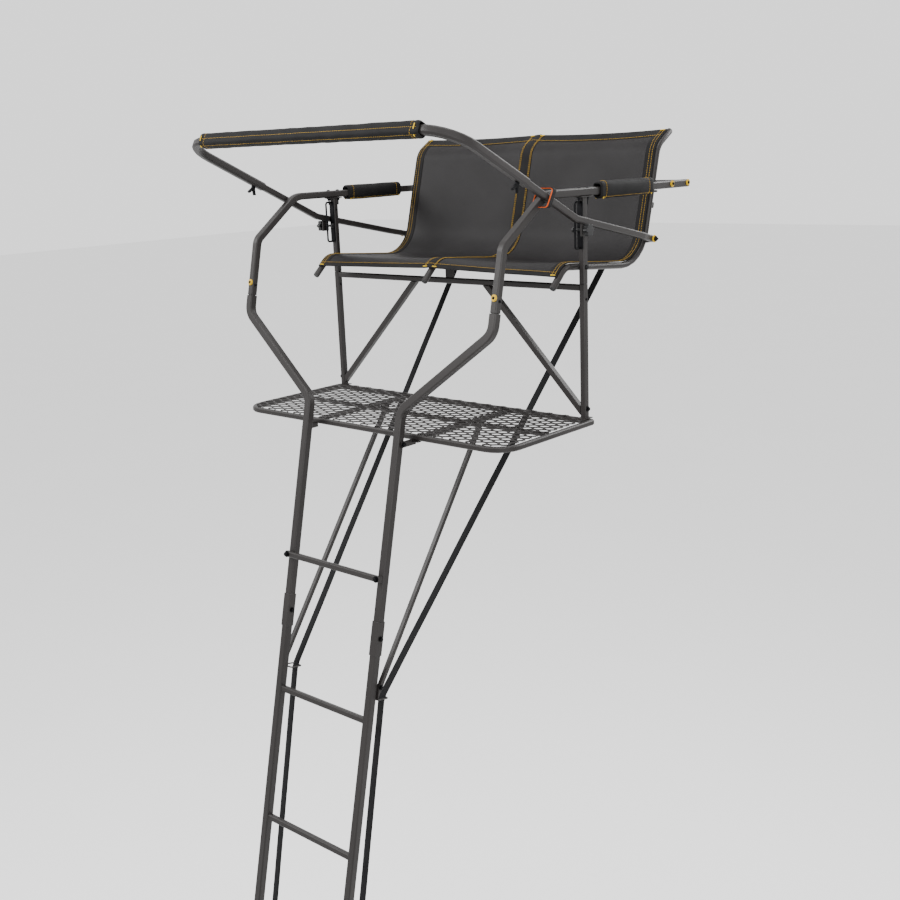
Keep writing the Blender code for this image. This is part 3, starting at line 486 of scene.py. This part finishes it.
dress(POWDER, *both("rail", "armrest_tube", "post", "upper_post", "diagonal", "brace"), bevel=TUBE_BEVEL)
dress(POWDER, *both("platform_bar", "rest_bar_strut", "strap_guide", "rail_arm", "jaw"), bevel=TUBE_BEVEL)
dress(POWDER, "ladder_section_upper", "ladder_section_middle", "ladder_section_lower", bevel=TUBE_BEVEL)
dress(POWDER, "crossbar", "top_rung", "platform_frame", "platform_cross_bar", bevel=TUBE_BEVEL)
dress(POWDER, "seat_rest_bar", "seat_cross_tube", "shooting_rail", bevel=TUBE_BEVEL)
dress(POWDER, "tree_bar", "tree_bracket", bevel=TUBE_BEVEL)
dress(POWDER, "seat_tube_left", "seat_tube_middle", "seat_tube_right")
dress(ZINC, *both("ratchet_frame", "ratchet_spool", "ratchet_handle"), bevel=0.0006)
dress(OXIDE, *both("height_bracket", "seat_pivot_bolt", "arm_pivot_bolt", "rail_lock"), bevel=0.0005)
dress(PLASTIC, *both("height_knob"), bevel=0.0012)


# ---------------------------------------------------------------- seat sling

SEAT_REAR_Y = 0.332
SEAT_LINE = [
    (0, -0.123, 0.408), (0, -0.062, 0.4635), (0, SEAT_REAR_Y, 0.433), (0, 0.4285, 0.790), (0, 0.500, 0.833),
]
SEAT_BENDS = (0.055, 0.130, 0.060)
SLING_HALF = 0.4945
SLING_RISE = 0.0118
SLING_SAG = 0.011
SLING_RIPPLE = 0.0011
SLING_THICKNESS = 0.0012
SLING_ROWS = 110
TUBE_RIDGE = 0.0016
TUBE_RIDGE_HALF = 0.012
BACK_SPREAD = 0.012
FRONT_HEM = 0.018
TOP_HEM = 0.036
SIDE_BAND = 0.034
MIDDLE_BAND_HALF = 0.024
seat_line = resample(rounded_path(SEAT_LINE, SEAT_BENDS, 12), 0.004)
seat_length = sum((b - a).length for a, b in zip(seat_line, seat_line[1:]))


def seat_point(x, along, lift=0.0):
    """A point of the sling: x across, metres along from the front tips, lift above the cloth."""
    place = min(max(along / seat_length, 0.0), 1.0) * (len(seat_line) - 1)
    k = min(int(place), len(seat_line) - 2)
    point = seat_line[k].lerp(seat_line[k + 1], place - k)
    low = seat_line[max(k - 4, 0)]
    high = seat_line[min(k + 5, len(seat_line) - 1)]
    run = (high - low).normalized()
    normal = Vector((0, -run.z, run.y))
    bay = min(abs(x) / SLING_HALF, 1.0)
    share = min(max(along / seat_length, 0.02), 0.98)
    sag = SLING_SAG * (1 - (2 * bay - 1) ** 2) * math.sin(math.pi * share) ** 0.5
    ripple = SLING_RIPPLE * noise.noise(Vector((x * 5.0, along * 7.0, 0.3)))
    ridge = TUBE_RIDGE * math.exp(-(x / TUBE_RIDGE_HALF) ** 2)
    spread = 1 + min(max(point.y / SEAT_REAR_Y, 0), 1) * BACK_SPREAD
    return at(x * spread, point.y, point.z) + normal * (SLING_RISE - sag + ripple + ridge + lift)


def front_edge(x):
    """How far back from the tips the sling's front edge lies."""
    near_middle = 1 - min(abs(x) / SLING_HALF, 1.0)
    return 0.033 + 0.013 * near_middle + 0.003 * math.sin(math.pi * min(abs(x) / SLING_HALF, 1.0))


def back_edge(x):
    """How far from the front tips the sling's top edge lies."""
    return seat_length - 0.010 - 0.006 * math.sin(math.pi * min(abs(x) / SLING_HALF, 1.0))


def cloth_sheet(name, x_low, x_high, columns, rows, lift, thickness, material,
                start=front_edge, end=back_edge):
    """A strip of the sling between two x positions: a thin sheet on the seat, with its size in UVs."""
    mesh = bmesh.new()
    uv = mesh.loops.layers.uv.new("UVMap")
    grid = []
    for j in range(rows + 1):
        line = []
        for i in range(columns + 1):
            x = x_low + (x_high - x_low) * i / columns
            along = start(x) + (end(x) - start(x)) * j / rows
            line.append((mesh.verts.new(seat_point(x, along, lift)), x, along))
        grid.append(line)
    for j in range(rows):
        for i in range(columns):
            ring = (grid[j][i], grid[j][i + 1], grid[j + 1][i + 1], grid[j + 1][i])
            face = mesh.faces.new([spot[0] for spot in ring])
            for loop, spot in zip(face.loops, ring):
                loop[uv].uv = (spot[1], spot[2])
    data = bpy.data.meshes.new(name)
    mesh.to_mesh(data)
    mesh.free()
    item = add_object(name, data, material, "seat")
    solid = item.modifiers.new("thickness", "SOLIDIFY")
    solid.thickness = thickness
    solid.offset = 0.0
    return item


sling = cloth_sheet("sling", -SLING_HALF, SLING_HALF, 96, SLING_ROWS, 0.0, SLING_THICKNESS, SLING)
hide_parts("seat_sling")
EDGE_HEM_HALF = SLING_HALF - 0.001
# Darker solid strips laid on the sling: a band along each side tube, one over the middle tube, and strips at
# the front and top edges
dark_strips = [
    cloth_sheet("sling_dark_band_left", -SLING_HALF, -SLING_HALF + SIDE_BAND, 8, SLING_ROWS, 0.0011, 0.0009, DARK_NYLON),
    cloth_sheet("sling_dark_band_right", SLING_HALF - SIDE_BAND, SLING_HALF, 8, SLING_ROWS, 0.0011, 0.0009, DARK_NYLON),
    cloth_sheet("sling_dark_band_middle", -MIDDLE_BAND_HALF, MIDDLE_BAND_HALF, 10, SLING_ROWS, 0.0013, 0.0009, DARK_NYLON),
    cloth_sheet("sling_hem_front", -EDGE_HEM_HALF, EDGE_HEM_HALF, 96, 4, 0.0013, 0.0008, DARK_NYLON,
                end=lambda x: front_edge(x) + FRONT_HEM),
    cloth_sheet("sling_hem_top", -EDGE_HEM_HALF, EDGE_HEM_HALF, 96, 4, 0.0013, 0.0008, DARK_NYLON,
                start=lambda x: back_edge(x) - TOP_HEM),
]


def long_seam(x):
    """A seam along the seat at x, from the front edge to the top edge."""
    a = front_edge(x) + 0.003
    b = back_edge(x) - 0.003
    return [seat_point(x, a + (b - a) * k / 150, 0.0024) for k in range(151)]


SEAM_HALF = SLING_HALF - 0.006
TACK_LENGTH = 0.016
seams = [long_seam(side * x)
         for side in (-1, 1) for x in (SLING_HALF - 0.009, SLING_HALF - 0.019, 0.0215, 0.0175)]
for edge, inset in ((front_edge, FRONT_HEM - 0.002), (back_edge, -TOP_HEM + 0.002)):
    line = [-SEAM_HALF + 2 * SEAM_HALF * k / 160 for k in range(161)]
    seams.append([seat_point(x, edge(x) + inset, 0.0026) for x in line])
sling_thread = stitches("sling_stitching", seams, "seat")
tacks = Builder()
for x in (-SLING_HALF + 0.014, -0.0195, 0.0195, SLING_HALF - 0.014):
    for along in (front_edge(x) + 0.005, back_edge(x) - 0.006):
        path = [seat_point(x + TACK_LENGTH * (k / 4 - 0.5), along, 0.0030) for k in range(5)]
        tacks.rod(path, 0.0016, 6)
sling_tacks = tacks.finish("sling_bar_tacks", TACK, "seat")


# ---------------------------------------------------------------- padded sleeves

SLEEVE_COLUMNS = 36
SLEEVE_STEP = 0.0045
PINCH = 0.0016
TACK_LIFT = 0.0016
CLOTH_STEPS = 20
SWELL_LIMIT = 0.0045


def sleeve_ring(angle, half_a, half_b, power=0.56):
    """A rounded-square section: the point at an angle."""
    c, s = math.cos(angle), math.sin(angle)
    return (half_a * math.copysign(abs(c) ** power, c), half_b * math.copysign(abs(s) ** power, s))


def padded_sleeve(name, body, node, centre, along, side, half_length, half, tube_half, offset, sewn,
                  seed):
    """A foam sleeve round a straight tube: closed ends and sewn columns, inflated by a cloth simulation."""
    along, side = Vector(along).normalized(), Vector(side).normalized()
    up = along.cross(side)
    count = SLEEVE_COLUMNS
    steps = round(2 * half_length / SLEEVE_STEP)
    work = bmesh.new()
    uv = work.loops.layers.uv.new("UVMap")
    rings = []
    for k in range(-1, steps + 2):
        s = -half_length + 2 * half_length * min(max(k, 0), steps) / steps
        inside = k < 0 or k > steps
        edge = min(1.0, (half_length - abs(s)) / 0.010)
        round_off = 0.80 + 0.20 * math.sqrt(1 - (1 - edge) ** 2)
        band = 0.0012 * math.exp(-((half_length - abs(s) - 0.024) / 0.0035) ** 2)
        ring = []
        for j in range(count):
            angle = math.tau * j / count
            if inside:
                a, b = sleeve_ring(angle, tube_half + 0.0004, tube_half + 0.0004, 0.4)
                place = side * a + up * b
            else:
                a, b = sleeve_ring(angle, half[0] * round_off, half[1] * round_off)
                pinch = PINCH if j in sewn else 0.0
                spot = Vector((s * 26, math.cos(angle) * 1.4 + seed, math.sin(angle) * 1.4))
                swell = 0.0011 * noise.noise(spot)
                place = side * (a + offset[0]) + up * (b + offset[1])
                place -= place.normalized() * (pinch + band - swell)
            ring.append(work.verts.new(Vector(centre) + along * s + place))
        rings.append(ring)
    for k in range(len(rings)):
        one, two = rings[k], rings[(k + 1) % len(rings)]
        for j in range(count):
            face = work.faces.new((one[j], one[(j + 1) % count], two[(j + 1) % count], two[j]))
            for loop, spot in zip(face.loops, ((j, k), (j + 1, k), (j + 1, k + 1), (j, k + 1))):
                loop[uv].uv = (spot[0] * 0.004, spot[1] * SLEEVE_STEP)
    bmesh.ops.recalc_face_normals(work, faces=work.faces)
    mesh = bpy.data.meshes.new(name)
    work.to_mesh(mesh)
    work.free()
    item = add_object(name, mesh, PAD)
    pinned = [k * count + j for k in range(len(rings)) for j in range(count)
              if k < 3 or k > len(rings) - 4 or j in sewn]
    inflate(item, pinned)
    rows = []
    for column in sewn:
        row = []
        for k in range(3, len(rings) - 3):
            point = mesh.vertices[k * count + column].co
            centre_here = Vector(centre) + along * (point - Vector(centre)).dot(along)
            row.append(point + (point - centre_here).normalized() * 0.0005)
        rows.append(row)
    for k in (7, len(rings) - 8):
        ring = [mesh.vertices[k * count + j].co for j in (*range(count), 0)]
        middle = sum(ring[:-1], Vector()) / count
        rows.append([p + (p - middle).normalized() * 0.0006 for p in ring])
    finer = item.modifiers.new("finer", "SUBSURF")
    finer.levels = 1
    finer.render_levels = 1
    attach(item, body)
    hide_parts(node)
    stitches(f"{name}_stitching", rows, body)
    tack = Builder()
    for column in sewn:
        for k in (4, len(rings) - 5):
            a = mesh.vertices[k * count + (column - 1) % count].co
            b = mesh.vertices[k * count + (column + 1) % count].co
            out = (a + b) / 2 - Vector(centre)
            out = (out - along * out.dot(along)).normalized() * TACK_LIFT
            tack.rod([a + out, (a + b) / 2 + out * 1.2, b + out], 0.0015, 6)
    tack.finish(f"{name}_bar_tacks", TACK, body)


def inflate(item, pinned):
    """Presses the cover outward between its seams with a short cloth simulation, and keeps the result."""
    rest = [v.co.copy() for v in item.data.vertices]
    group = item.vertex_groups.new(name="sewn")
    group.add(pinned, 1.0, "REPLACE")
    cloth = item.modifiers.new("inflate", "CLOTH")
    settings = cloth.settings
    settings.quality = 6
    settings.mass = 0.15
    settings.tension_stiffness = 20
    settings.compression_stiffness = 20
    settings.bending_stiffness = 0.4
    settings.use_pressure = True
    settings.uniform_pressure_force = 4.0
    settings.vertex_group_mass = "sewn"
    settings.effector_weights.gravity = 0.0
    scene = bpy.context.scene
    for step in range(1, CLOTH_STEPS + 1):
        scene.frame_set(step)
    evaluated = item.evaluated_get(bpy.context.evaluated_depsgraph_get())
    moved = [v.co.copy() for v in evaluated.data.vertices]
    item.modifiers.remove(cloth)
    item.vertex_groups.remove(group)
    scene.frame_set(1)
    for vertex, before, after in zip(item.data.vertices, rest, moved):
        shift = after - before
        if shift.length > SWELL_LIMIT:
            shift *= SWELL_LIMIT / shift.length
        vertex.co = before + shift


RAIL_SLOPE = math.radians(25.6)
padded_sleeve(
    "rail_pad_cover", "shooting_rail", "rail_pad", centre=at(0.006, -0.590, 0.852), along=(1, 0, 0),
    side=(0, -math.cos(RAIL_SLOPE), math.sin(RAIL_SLOPE)), half_length=0.440, half=(0.0195, 0.0208),
    tube_half=0.0125, offset=(0.0005, -0.0012), sewn=(0, 7), seed=0.0)
ARMREST_SPLAY = (ARMREST_X - ARMREST_FRONT_X) / (ARMREST_BEND_Y - ARMREST_FRONT_Y)
for label, s in SIDES:
    padded_sleeve(
        f"armrest_pad_cover_{label}", "stand", f"armrest_pad_{label}",
        centre=at(s * 0.5224, 0.200, ARMREST_Z), along=(s * ARMREST_SPLAY, 1, 0),
        side=(1, -s * ARMREST_SPLAY, 0), half_length=0.138, half=(0.0162, 0.0245), tube_half=0.01125,
        offset=(s * 0.0020, -0.0020), sewn=(5, 13), seed=3.0 + s)


# ---------------------------------------------------------------- expanded-metal floor

MESH_PITCH = 0.0600
MESH_ROW = 0.0300
STRAND = 0.0044
STRAND_HALF_THICKNESS = 0.0010
STRAND_TILT = math.radians(24)
STRAND_SWING = MESH_ROW / 4 - STRAND * 0.36
MESH_INSET = 0.0015
MESH_CORNER = 0.065
POST_CLEARANCE = 0.0140
mesh_low, mesh_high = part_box("platform_mesh")


def on_floor(x, y):
    """Whether a point lies on the platform's outline, clear of the posts."""
    x, y = abs(x), y - DATUM.y
    edge_x = mesh_high.x - MESH_INSET
    low, high = mesh_low.y - DATUM.y + MESH_INSET, mesh_high.y - DATUM.y - MESH_INSET
    if x > edge_x or not low < y < high:
        return False
    if abs(x - REAR_X) < POST_CLEARANCE and abs(y) < POST_CLEARANCE:
        return False
    dx, dy = x - (edge_x - MESH_CORNER), low + MESH_CORNER - y
    return dx < 0 or dy < 0 or math.hypot(dx, dy) < MESH_CORNER


grating = Builder()
section = []
for a, b in ((-1, -1), (1, -1), (1, 1), (-1, 1)):
    w, t = a * STRAND / 2, b * STRAND_HALF_THICKNESS
    section.append((w * math.cos(STRAND_TILT) - t * math.sin(STRAND_TILT),
                    w * math.sin(STRAND_TILT) + t * math.cos(STRAND_TILT)))
level = mesh_low.z + 0.0018
row_count = int((mesh_high.y - mesh_low.y) / (MESH_ROW / 2)) + 1
spots = int((mesh_high.x - mesh_low.x) / MESH_PITCH * 12)
for k in range(row_count):
    y = mesh_low.y + 0.004 + k * MESH_ROW / 2
    phase = 0.5 * (k % 2)
    run = []
    for j in range(spots + 1):
        x = mesh_low.x + (mesh_high.x - mesh_low.x) * j / spots
        turn = (x / MESH_PITCH + phase) % 1.0
        wave = max(-1.0, min(1.0, 6.0 * (abs(turn - 0.5) - 0.25)))
        point = Vector((x, y + STRAND_SWING * wave, level + 0.0004 * wave))
        if on_floor(point.x, point.y):
            run.append(point)
            continue
        if len(run) > 2:
            grating.sweep(run, section, across=(0, 1, 0))
        run = []
    if len(run) > 2:
        grating.sweep(run, section, across=(0, 1, 0))
grating.finish("platform_grating", POWDER, "stand", ("platform_mesh",))


# ---------------------------------------------------------------- straps

STRAP_WIDTH = 0.025
STRAP_EYE = at(0.333, 0.592, 0.634)
SPOOL = ladder(STRAP_X, -2.500, 0.072)
GUIDE = ladder(STRAP_X, -0.745, 0.050)
STRAP_END = SPOOL + Vector((0, 0.0165, 0.004))
LAP_LIFT = 0.0021
SEWING_LIFT = 0.0034
WOUND_LOW, WOUND_HIGH, WOUND_TURNS = 0.0092, 0.0154, 4


def strap_section(width, thickness):
    """A flat band with thinned edges."""
    w, t = width / 2, thickness / 2
    lower = [(-w, -t * 0.4), (-w + t, -t), (w - t, -t), (w, -t * 0.4)]
    return lower + [(-x, -y) for x, y in lower]


def mirrored(point, s):
    """The point's twin on side s of the stand."""
    return Vector((s * point.x, point.y, point.z))


for label, s in SIDES:
    path = [mirrored(p, s) for p in rounded_path([STRAP_EYE, GUIDE, STRAP_END], (0.060,), 10)]
    fine = []
    for k, point in enumerate(resample(path, 0.02)):
        sway = 0.0012 * noise.noise(Vector((k * 0.11, s * 3.0, 0.7)))
        fine.append(point + Vector((0, sway, 0)))
    strap = Builder()
    strap.sweep(fine, strap_section(STRAP_WIDTH, 0.0019), across=(1, 0, 0))
    strap_item = strap.finish(f"strap_webbing_{label}", WEBBING, "stand", (f"strap_{label}",))
    # The doubled, sewn end round the ring
    ahead = (fine[1] - fine[0]).normalized()
    out = Vector((1, 0, 0)).cross(ahead).normalized()
    lap = Builder()
    doubled = [fine[0] + ahead * 0.006 * k + out * LAP_LIFT for k in range(17)]
    lap.sweep(doubled, strap_section(STRAP_WIDTH, 0.0018), across=(1, 0, 0))
    fold = []
    for k in range(9):
        angle = math.pi * k / 8
        fold.append(fine[0] - ahead * 0.010 * math.sin(angle) + out * LAP_LIFT * (1 - math.cos(angle)) / 2)
    lap.sweep(fold, strap_section(0.0235, 0.0016), across=(1, 0, 0))
    lap.finish(f"strap_loop_{label}", WEBBING, "stand")
    face = fine[0] + out * SEWING_LIFT
    sewing = []
    for along in (0.034, 0.059, 0.084):
        sewing.append([face + ahead * along + Vector((x, 0, 0)) for x in (-0.010, 0.010)])
    for x in (-0.0095, 0.0095):
        sewing.append([face + ahead * along + Vector((x, 0, 0)) for along in (0.032, 0.0595, 0.087)])
    stitches(f"strap_stitching_{label}", sewing, "stand", material=DARK_NYLON)
    # Webbing wound on the spool
    roll = Builder()
    spiral = []
    for k in range(24 * WOUND_TURNS + 1):
        angle = math.tau * k / 24
        radius = WOUND_LOW + (WOUND_HIGH - WOUND_LOW) * k / (24 * WOUND_TURNS)
        spiral.append(mirrored(SPOOL, s) + Vector((0, math.cos(angle), math.sin(angle))) * radius)
    roll.sweep(spiral, strap_section(0.0335, 0.0014), across=(1, 0, 0))
    roll.finish(f"spool_webbing_{label}", WEBBING, f"spool_{label}")
    link = Builder()
    link.ring(mirrored(STRAP_EYE, s) + Vector((0, 0.004, 0.012)), (1, 0, 0), 0.0095, 0.0022, 22, 8)
    link.finish(f"strap_ring_{label}", ZINC, "stand")


# ---------------------------------------------------------------- fasteners, caps and plates

def bolt(made, place, axis, size=0.010, height=0.005):
    """A hexagon head with its washer, standing on a face."""
    axis = Vector(axis).normalized()
    made.cylinder(Vector(place) + axis * 0.0007, axis, size * 0.82, 0.0014, 22)
    made.hexagon(Vector(place) + axis * (0.0014 + height / 2), axis, size, height)
    made.dome(Vector(place) + axis * (0.0014 + height), axis, size * 0.42, 0.0012)


def bushing(made, place, axis, radius=0.0100):
    """A moulded collar under a bolt head."""
    axis = Vector(axis).normalized()
    made.cylinder(Vector(place) + axis * 0.0011, axis, radius, 0.0022, 26)
    made.cylinder(Vector(place) + axis * 0.0030, axis, radius * 0.78, 0.0018, 26)


PLATE_BEVEL = 0.0008
ARMREST_FACE = 0.0113
POST_FACE = 0.0100
UPPER_POST_FACE = 0.0113
BRACE_FACE = 0.0065
SLEEVE_FACE = 0.0145
SHOE_FACE = 0.0128
PIN_SEAT = 0.0032
FORWARD = Vector((0, -math.cos(LEAN), math.sin(LEAN)))

stand_bolts = Builder()
bushings = Builder()
caps = Builder()
plates = Builder()
pins = Builder()
for label, s in SIDES:
    # Collars and push pins at the holes of the armrest, the rear post and the upper post
    for outward in (1, -1):
        axis = (s * outward, 0, 0)
        if outward == 1:
            for y in (0.450, 0.545):
                place = at(s * (ARMREST_X + ARMREST_FACE), y, 0.6735)
                bushing(bushings, place, axis)
                pins.dome(place + Vector(axis) * PIN_SEAT, axis, 0.0056, 0.0040)
        pins.dome(at(s * (REAR_X + outward * POST_FACE), 0, 0.366), axis, 0.0042, 0.0034)
    joint = at(s * SIDE_X, math.tan(LEAN) * 0.412 + UPPER_POST_Y, 0.412) + FORWARD * UPPER_POST_FACE
    bushing(bushings, joint, FORWARD, 0.0095)
    pins.dome(joint + FORWARD * PIN_SEAT, FORWARD, 0.0046, 0.0030)
    button = at(s * SIDE_X + UPPER_POST_FACE, math.tan(LEAN) * 0.405 + UPPER_POST_Y, 0.405)
    pins.dome(button, (1, 0, 0), 0.0040, 0.0050)
    pins.dome(at(s * (REAR_X - POST_FACE), 0, 0.620), (-s, 0, 0), 0.0042, 0.0030)
    # Saddle plate where the post meets the armrest, held by two bolts with domed nuts
    plates.box(at(s * 0.5150, 0, 0.6585), (0.0275, 0.056, 0.0028), bevel=PLATE_BEVEL)
    for y in (-0.021, 0.021):
        bolt(stand_bolts, at(s * 0.5150, y, 0.6570), (0, 0, -1))
        stand_bolts.cylinder(at(s * 0.5150, y, 0.6445), (0, 0, 1), 0.0024, 0.018, 10)
        pins.dome(at(s * 0.5155, y, 0.6826), (0, 0, 1), 0.0062, 0.0036)
    # Clip under the platform's front rim, beside the rail
    plates.box(at(s * 0.2078, -0.4470, -0.0120), (0.0040, 0.0600, 0.0180), bevel=PLATE_BEVEL)
    plates.box(at(s * 0.2190, -0.4245, -0.0090), (0.0250, 0.0160, 0.0056), bevel=PLATE_BEVEL)
    bolt(stand_bolts, at(s * 0.2098, -0.4700, -0.0120), (s, 0, 0))
    # Foot of the rear post, and both ends of the brace
    plates.box(at(s * REAR_X, 0, 0.0117), (0.034, 0.034, 0.0026), bevel=PLATE_BEVEL)
    bolt(stand_bolts, at(s * (REAR_X + POST_FACE), 0, 0.040), (s, 0, 0))
    bolt(stand_bolts, at(s * (BRACE_X + BRACE_FACE), -0.128, -0.016), (s, 0, 0))
    bolt(stand_bolts, ladder(s * (BRACE_X + BRACE_FACE), -0.708, 0.020), (s, 0, 0))
    # Top rung, bolted through from the front
    bolt(stand_bolts, ladder(s * RAIL_X, -0.395, -0.0310), FORWARD, 0.012, 0.006)
    # Sleeve joints between the ladder's sections
    for k in range(SECTION_JOINTS):
        for outward in (1, -1):
            place = ladder(s * (RAIL_X + outward * SLEEVE_FACE), FIRST_JOINT_Z - k * SECTION_LENGTH)
            bolt(stand_bolts, place, (s * outward, 0, 0))
    # Rear end of the armrest tube
    caps.box(at(s * ARMREST_X, 0.5575, ARMREST_Z), (0.0200, 0.0030, 0.0200), bevel=0.0012)
stand_bolts.finish("frame_bolts", OXIDE, "stand")
bushings.finish("frame_bushings", BUSHING, "stand")
plates.finish("frame_plates", POWDER, "stand")
caps.finish("frame_caps", CAP, "stand")
pins.finish("frame_push_pins", OXIDE, "stand")

# Round caps in the open ends of the three seat tubes
seat_caps = Builder()
tip, tip_next = seat_line[0], seat_line[2]
top, top_next = seat_line[-1], seat_line[-3]
for x_front, x_rear in ((-0.4920, -0.4985), (0.0, 0.0), (0.4920, 0.4985)):
    for x, end, inner in ((x_front, tip, tip_next), (x_rear, top, top_next)):
        axis = (end - inner).normalized()
        seat_caps.cylinder(at(x, end.y, end.z) + axis * 0.0006, axis, 0.0094, 0.0018, 24, 0.0086)
seat_caps.finish("seat_tube_caps", CAP, "seat")

# Collar and pointed nut on each arm's pivot bolt
collars = Builder()
for label, s in SIDES:
    bushing(collars, at(s * 0.5336, *ARM_PIVOT), (s, 0, 0), 0.0112)
    nut = Builder()
    nut.cylinder(at(s * 0.5440, *ARM_PIVOT), (s, 0, 0), 0.0066, 0.0080, 14, 0.0022)
    nut.finish(f"arm_pivot_nut_{label}", OXIDE, "stand")
collars.finish("arm_pivot_bushings", BUSHING, "stand")

# The tie that holds the right arm down on its armrest for carrying: black webbing with an orange edge. It is
# undone before the arm moves, so it is made in two halves that meet at rest, one on each tube.
TIE_Y, TIE_MIDDLE, TIE_SLANT = -0.196, 0.664, 0.6
TIE_SEAM, TIE_BOTTOM, TIE_TOP = 0.524, 0.641, 0.690
for half, body, far in (("arm", "rail_arms", 0.549), ("armrest", "stand", 0.497)):
    corners = ((TIE_SEAM, TIE_BOTTOM), (far, TIE_BOTTOM), (far, TIE_TOP), (TIE_SEAM, TIE_TOP))
    for part, shift, width, material in (("tie", 0.0, 0.016, WEBBING), ("tie_edge", -0.0100, 0.0046, ORANGE)):
        loop = [at(x, TIE_Y + (z - TIE_MIDDLE) * TIE_SLANT + shift, z) for x, z in corners]
        tie = Builder()
        tie.sweep(rounded_path(loop, (0.008, 0.008), 5), strap_section(width, 0.0016), across=(0, 1, -0.3))
        tie.finish(f"{half}_{part}", material, body)

# Height guides: a bent rod stood off from a plate on the front of each post
BRACKET_X, BRACKET_LOW, BRACKET_HIGH = 0.513, 0.5135, 0.6445
BRACKET_BACK, BRACKET_FRONT = -0.0125, -0.0385
for label, s in SIDES:
    upper = [(BRACKET_BACK, BRACKET_HIGH), (BRACKET_FRONT, BRACKET_HIGH)]
    lower = [(BRACKET_FRONT, BRACKET_LOW), (BRACKET_BACK, BRACKET_LOW)]
    rod = Builder()
    rod.rod(rounded_path([at(s * BRACKET_X, y, z) for y, z in upper + lower], (0.007, 0.007), 6), 0.0031, 10)
    middle = at(s * BRACKET_X, BRACKET_BACK, (BRACKET_LOW + BRACKET_HIGH) / 2)
    rod.box(middle, (0.0185, 0.0042, 0.134), bevel=PLATE_BEVEL)
    rod.finish(f"height_guide_{label}", OXIDE, "stand", (f"height_bracket_{label}",))

# Ratchets: toothed wheels on the spool, a moulded grip on the handle and the bolts of the back plate
WHEEL_TEETH = 13
GRIP_RIBS = 4
for label, s in SIDES:
    middle = mirrored(SPOOL, s)
    wheels = Builder()
    for x in (-0.0195, 0.0195):
        hub = middle + Vector((x, 0, 0))
        wheels.cylinder(hub, (1, 0, 0), 0.0150, 0.0024, 26)
        for k in range(WHEEL_TEETH):
            angle = math.tau * k / WHEEL_TEETH
            spoke = Vector((0, math.cos(angle), math.sin(angle)))
            wheels.box(hub + spoke * 0.0156, (0.0024, 0.0040, 0.0030), Matrix.Rotation(angle, 3, "X"))
    for x in (-0.0320125, 0.0320125):
        wheels.ring(middle + Vector((x, 0, 0)), (1, 0, 0), 0.0085, 0.0010, 20, 6)
    wheels.finish(f"ratchet_wheels_{label}", ZINC, f"spool_{label}")
    grip = Builder()
    tilted = Matrix.Rotation(-LEAN, 3, "X")
    grip.box(ladder(s * STRAP_X, -2.375, 0.096), (0.0500, 0.0155, 0.0325), tilted, 0.0045)
    for k in range(GRIP_RIBS):
        rib = ladder(s * STRAP_X, -2.3855 + 0.007 * k, 0.1045)
        grip.box(rib, (0.042, 0.0024, 0.0028), tilted, PLATE_BEVEL)
    grip.finish(f"ratchet_grip_{label}", PLASTIC, f"handle_{label}")
    plate_bolts = Builder()
    for z in (-2.532, -2.468):
        bolt(plate_bolts, ladder(s * STRAP_X, z, 0.0168), -FORWARD)
    # The bolt through the ladder's shoe
    bolt(plate_bolts, ladder(s * (RAIL_X + SHOE_FACE), -3.845), (s, 0, 0), 0.010, 0.004)
    plate_bolts.finish(f"lower_bolts_{label}", OXIDE, "stand")


# ---------------------------------------------------------------- floor

FLOOR_REACH = 60.0
floor_corners = [(x * FLOOR_REACH, y * FLOOR_REACH, 0) for x, y in ((-1, -1), (1, -1), (1, 1), (-1, 1))]
floor_mesh = bpy.data.meshes.new("floor")
floor_mesh.from_pydata(floor_corners, [], [(0, 1, 2, 3)])
floor = add_object("floor", floor_mesh, floor_material(), smooth=False)
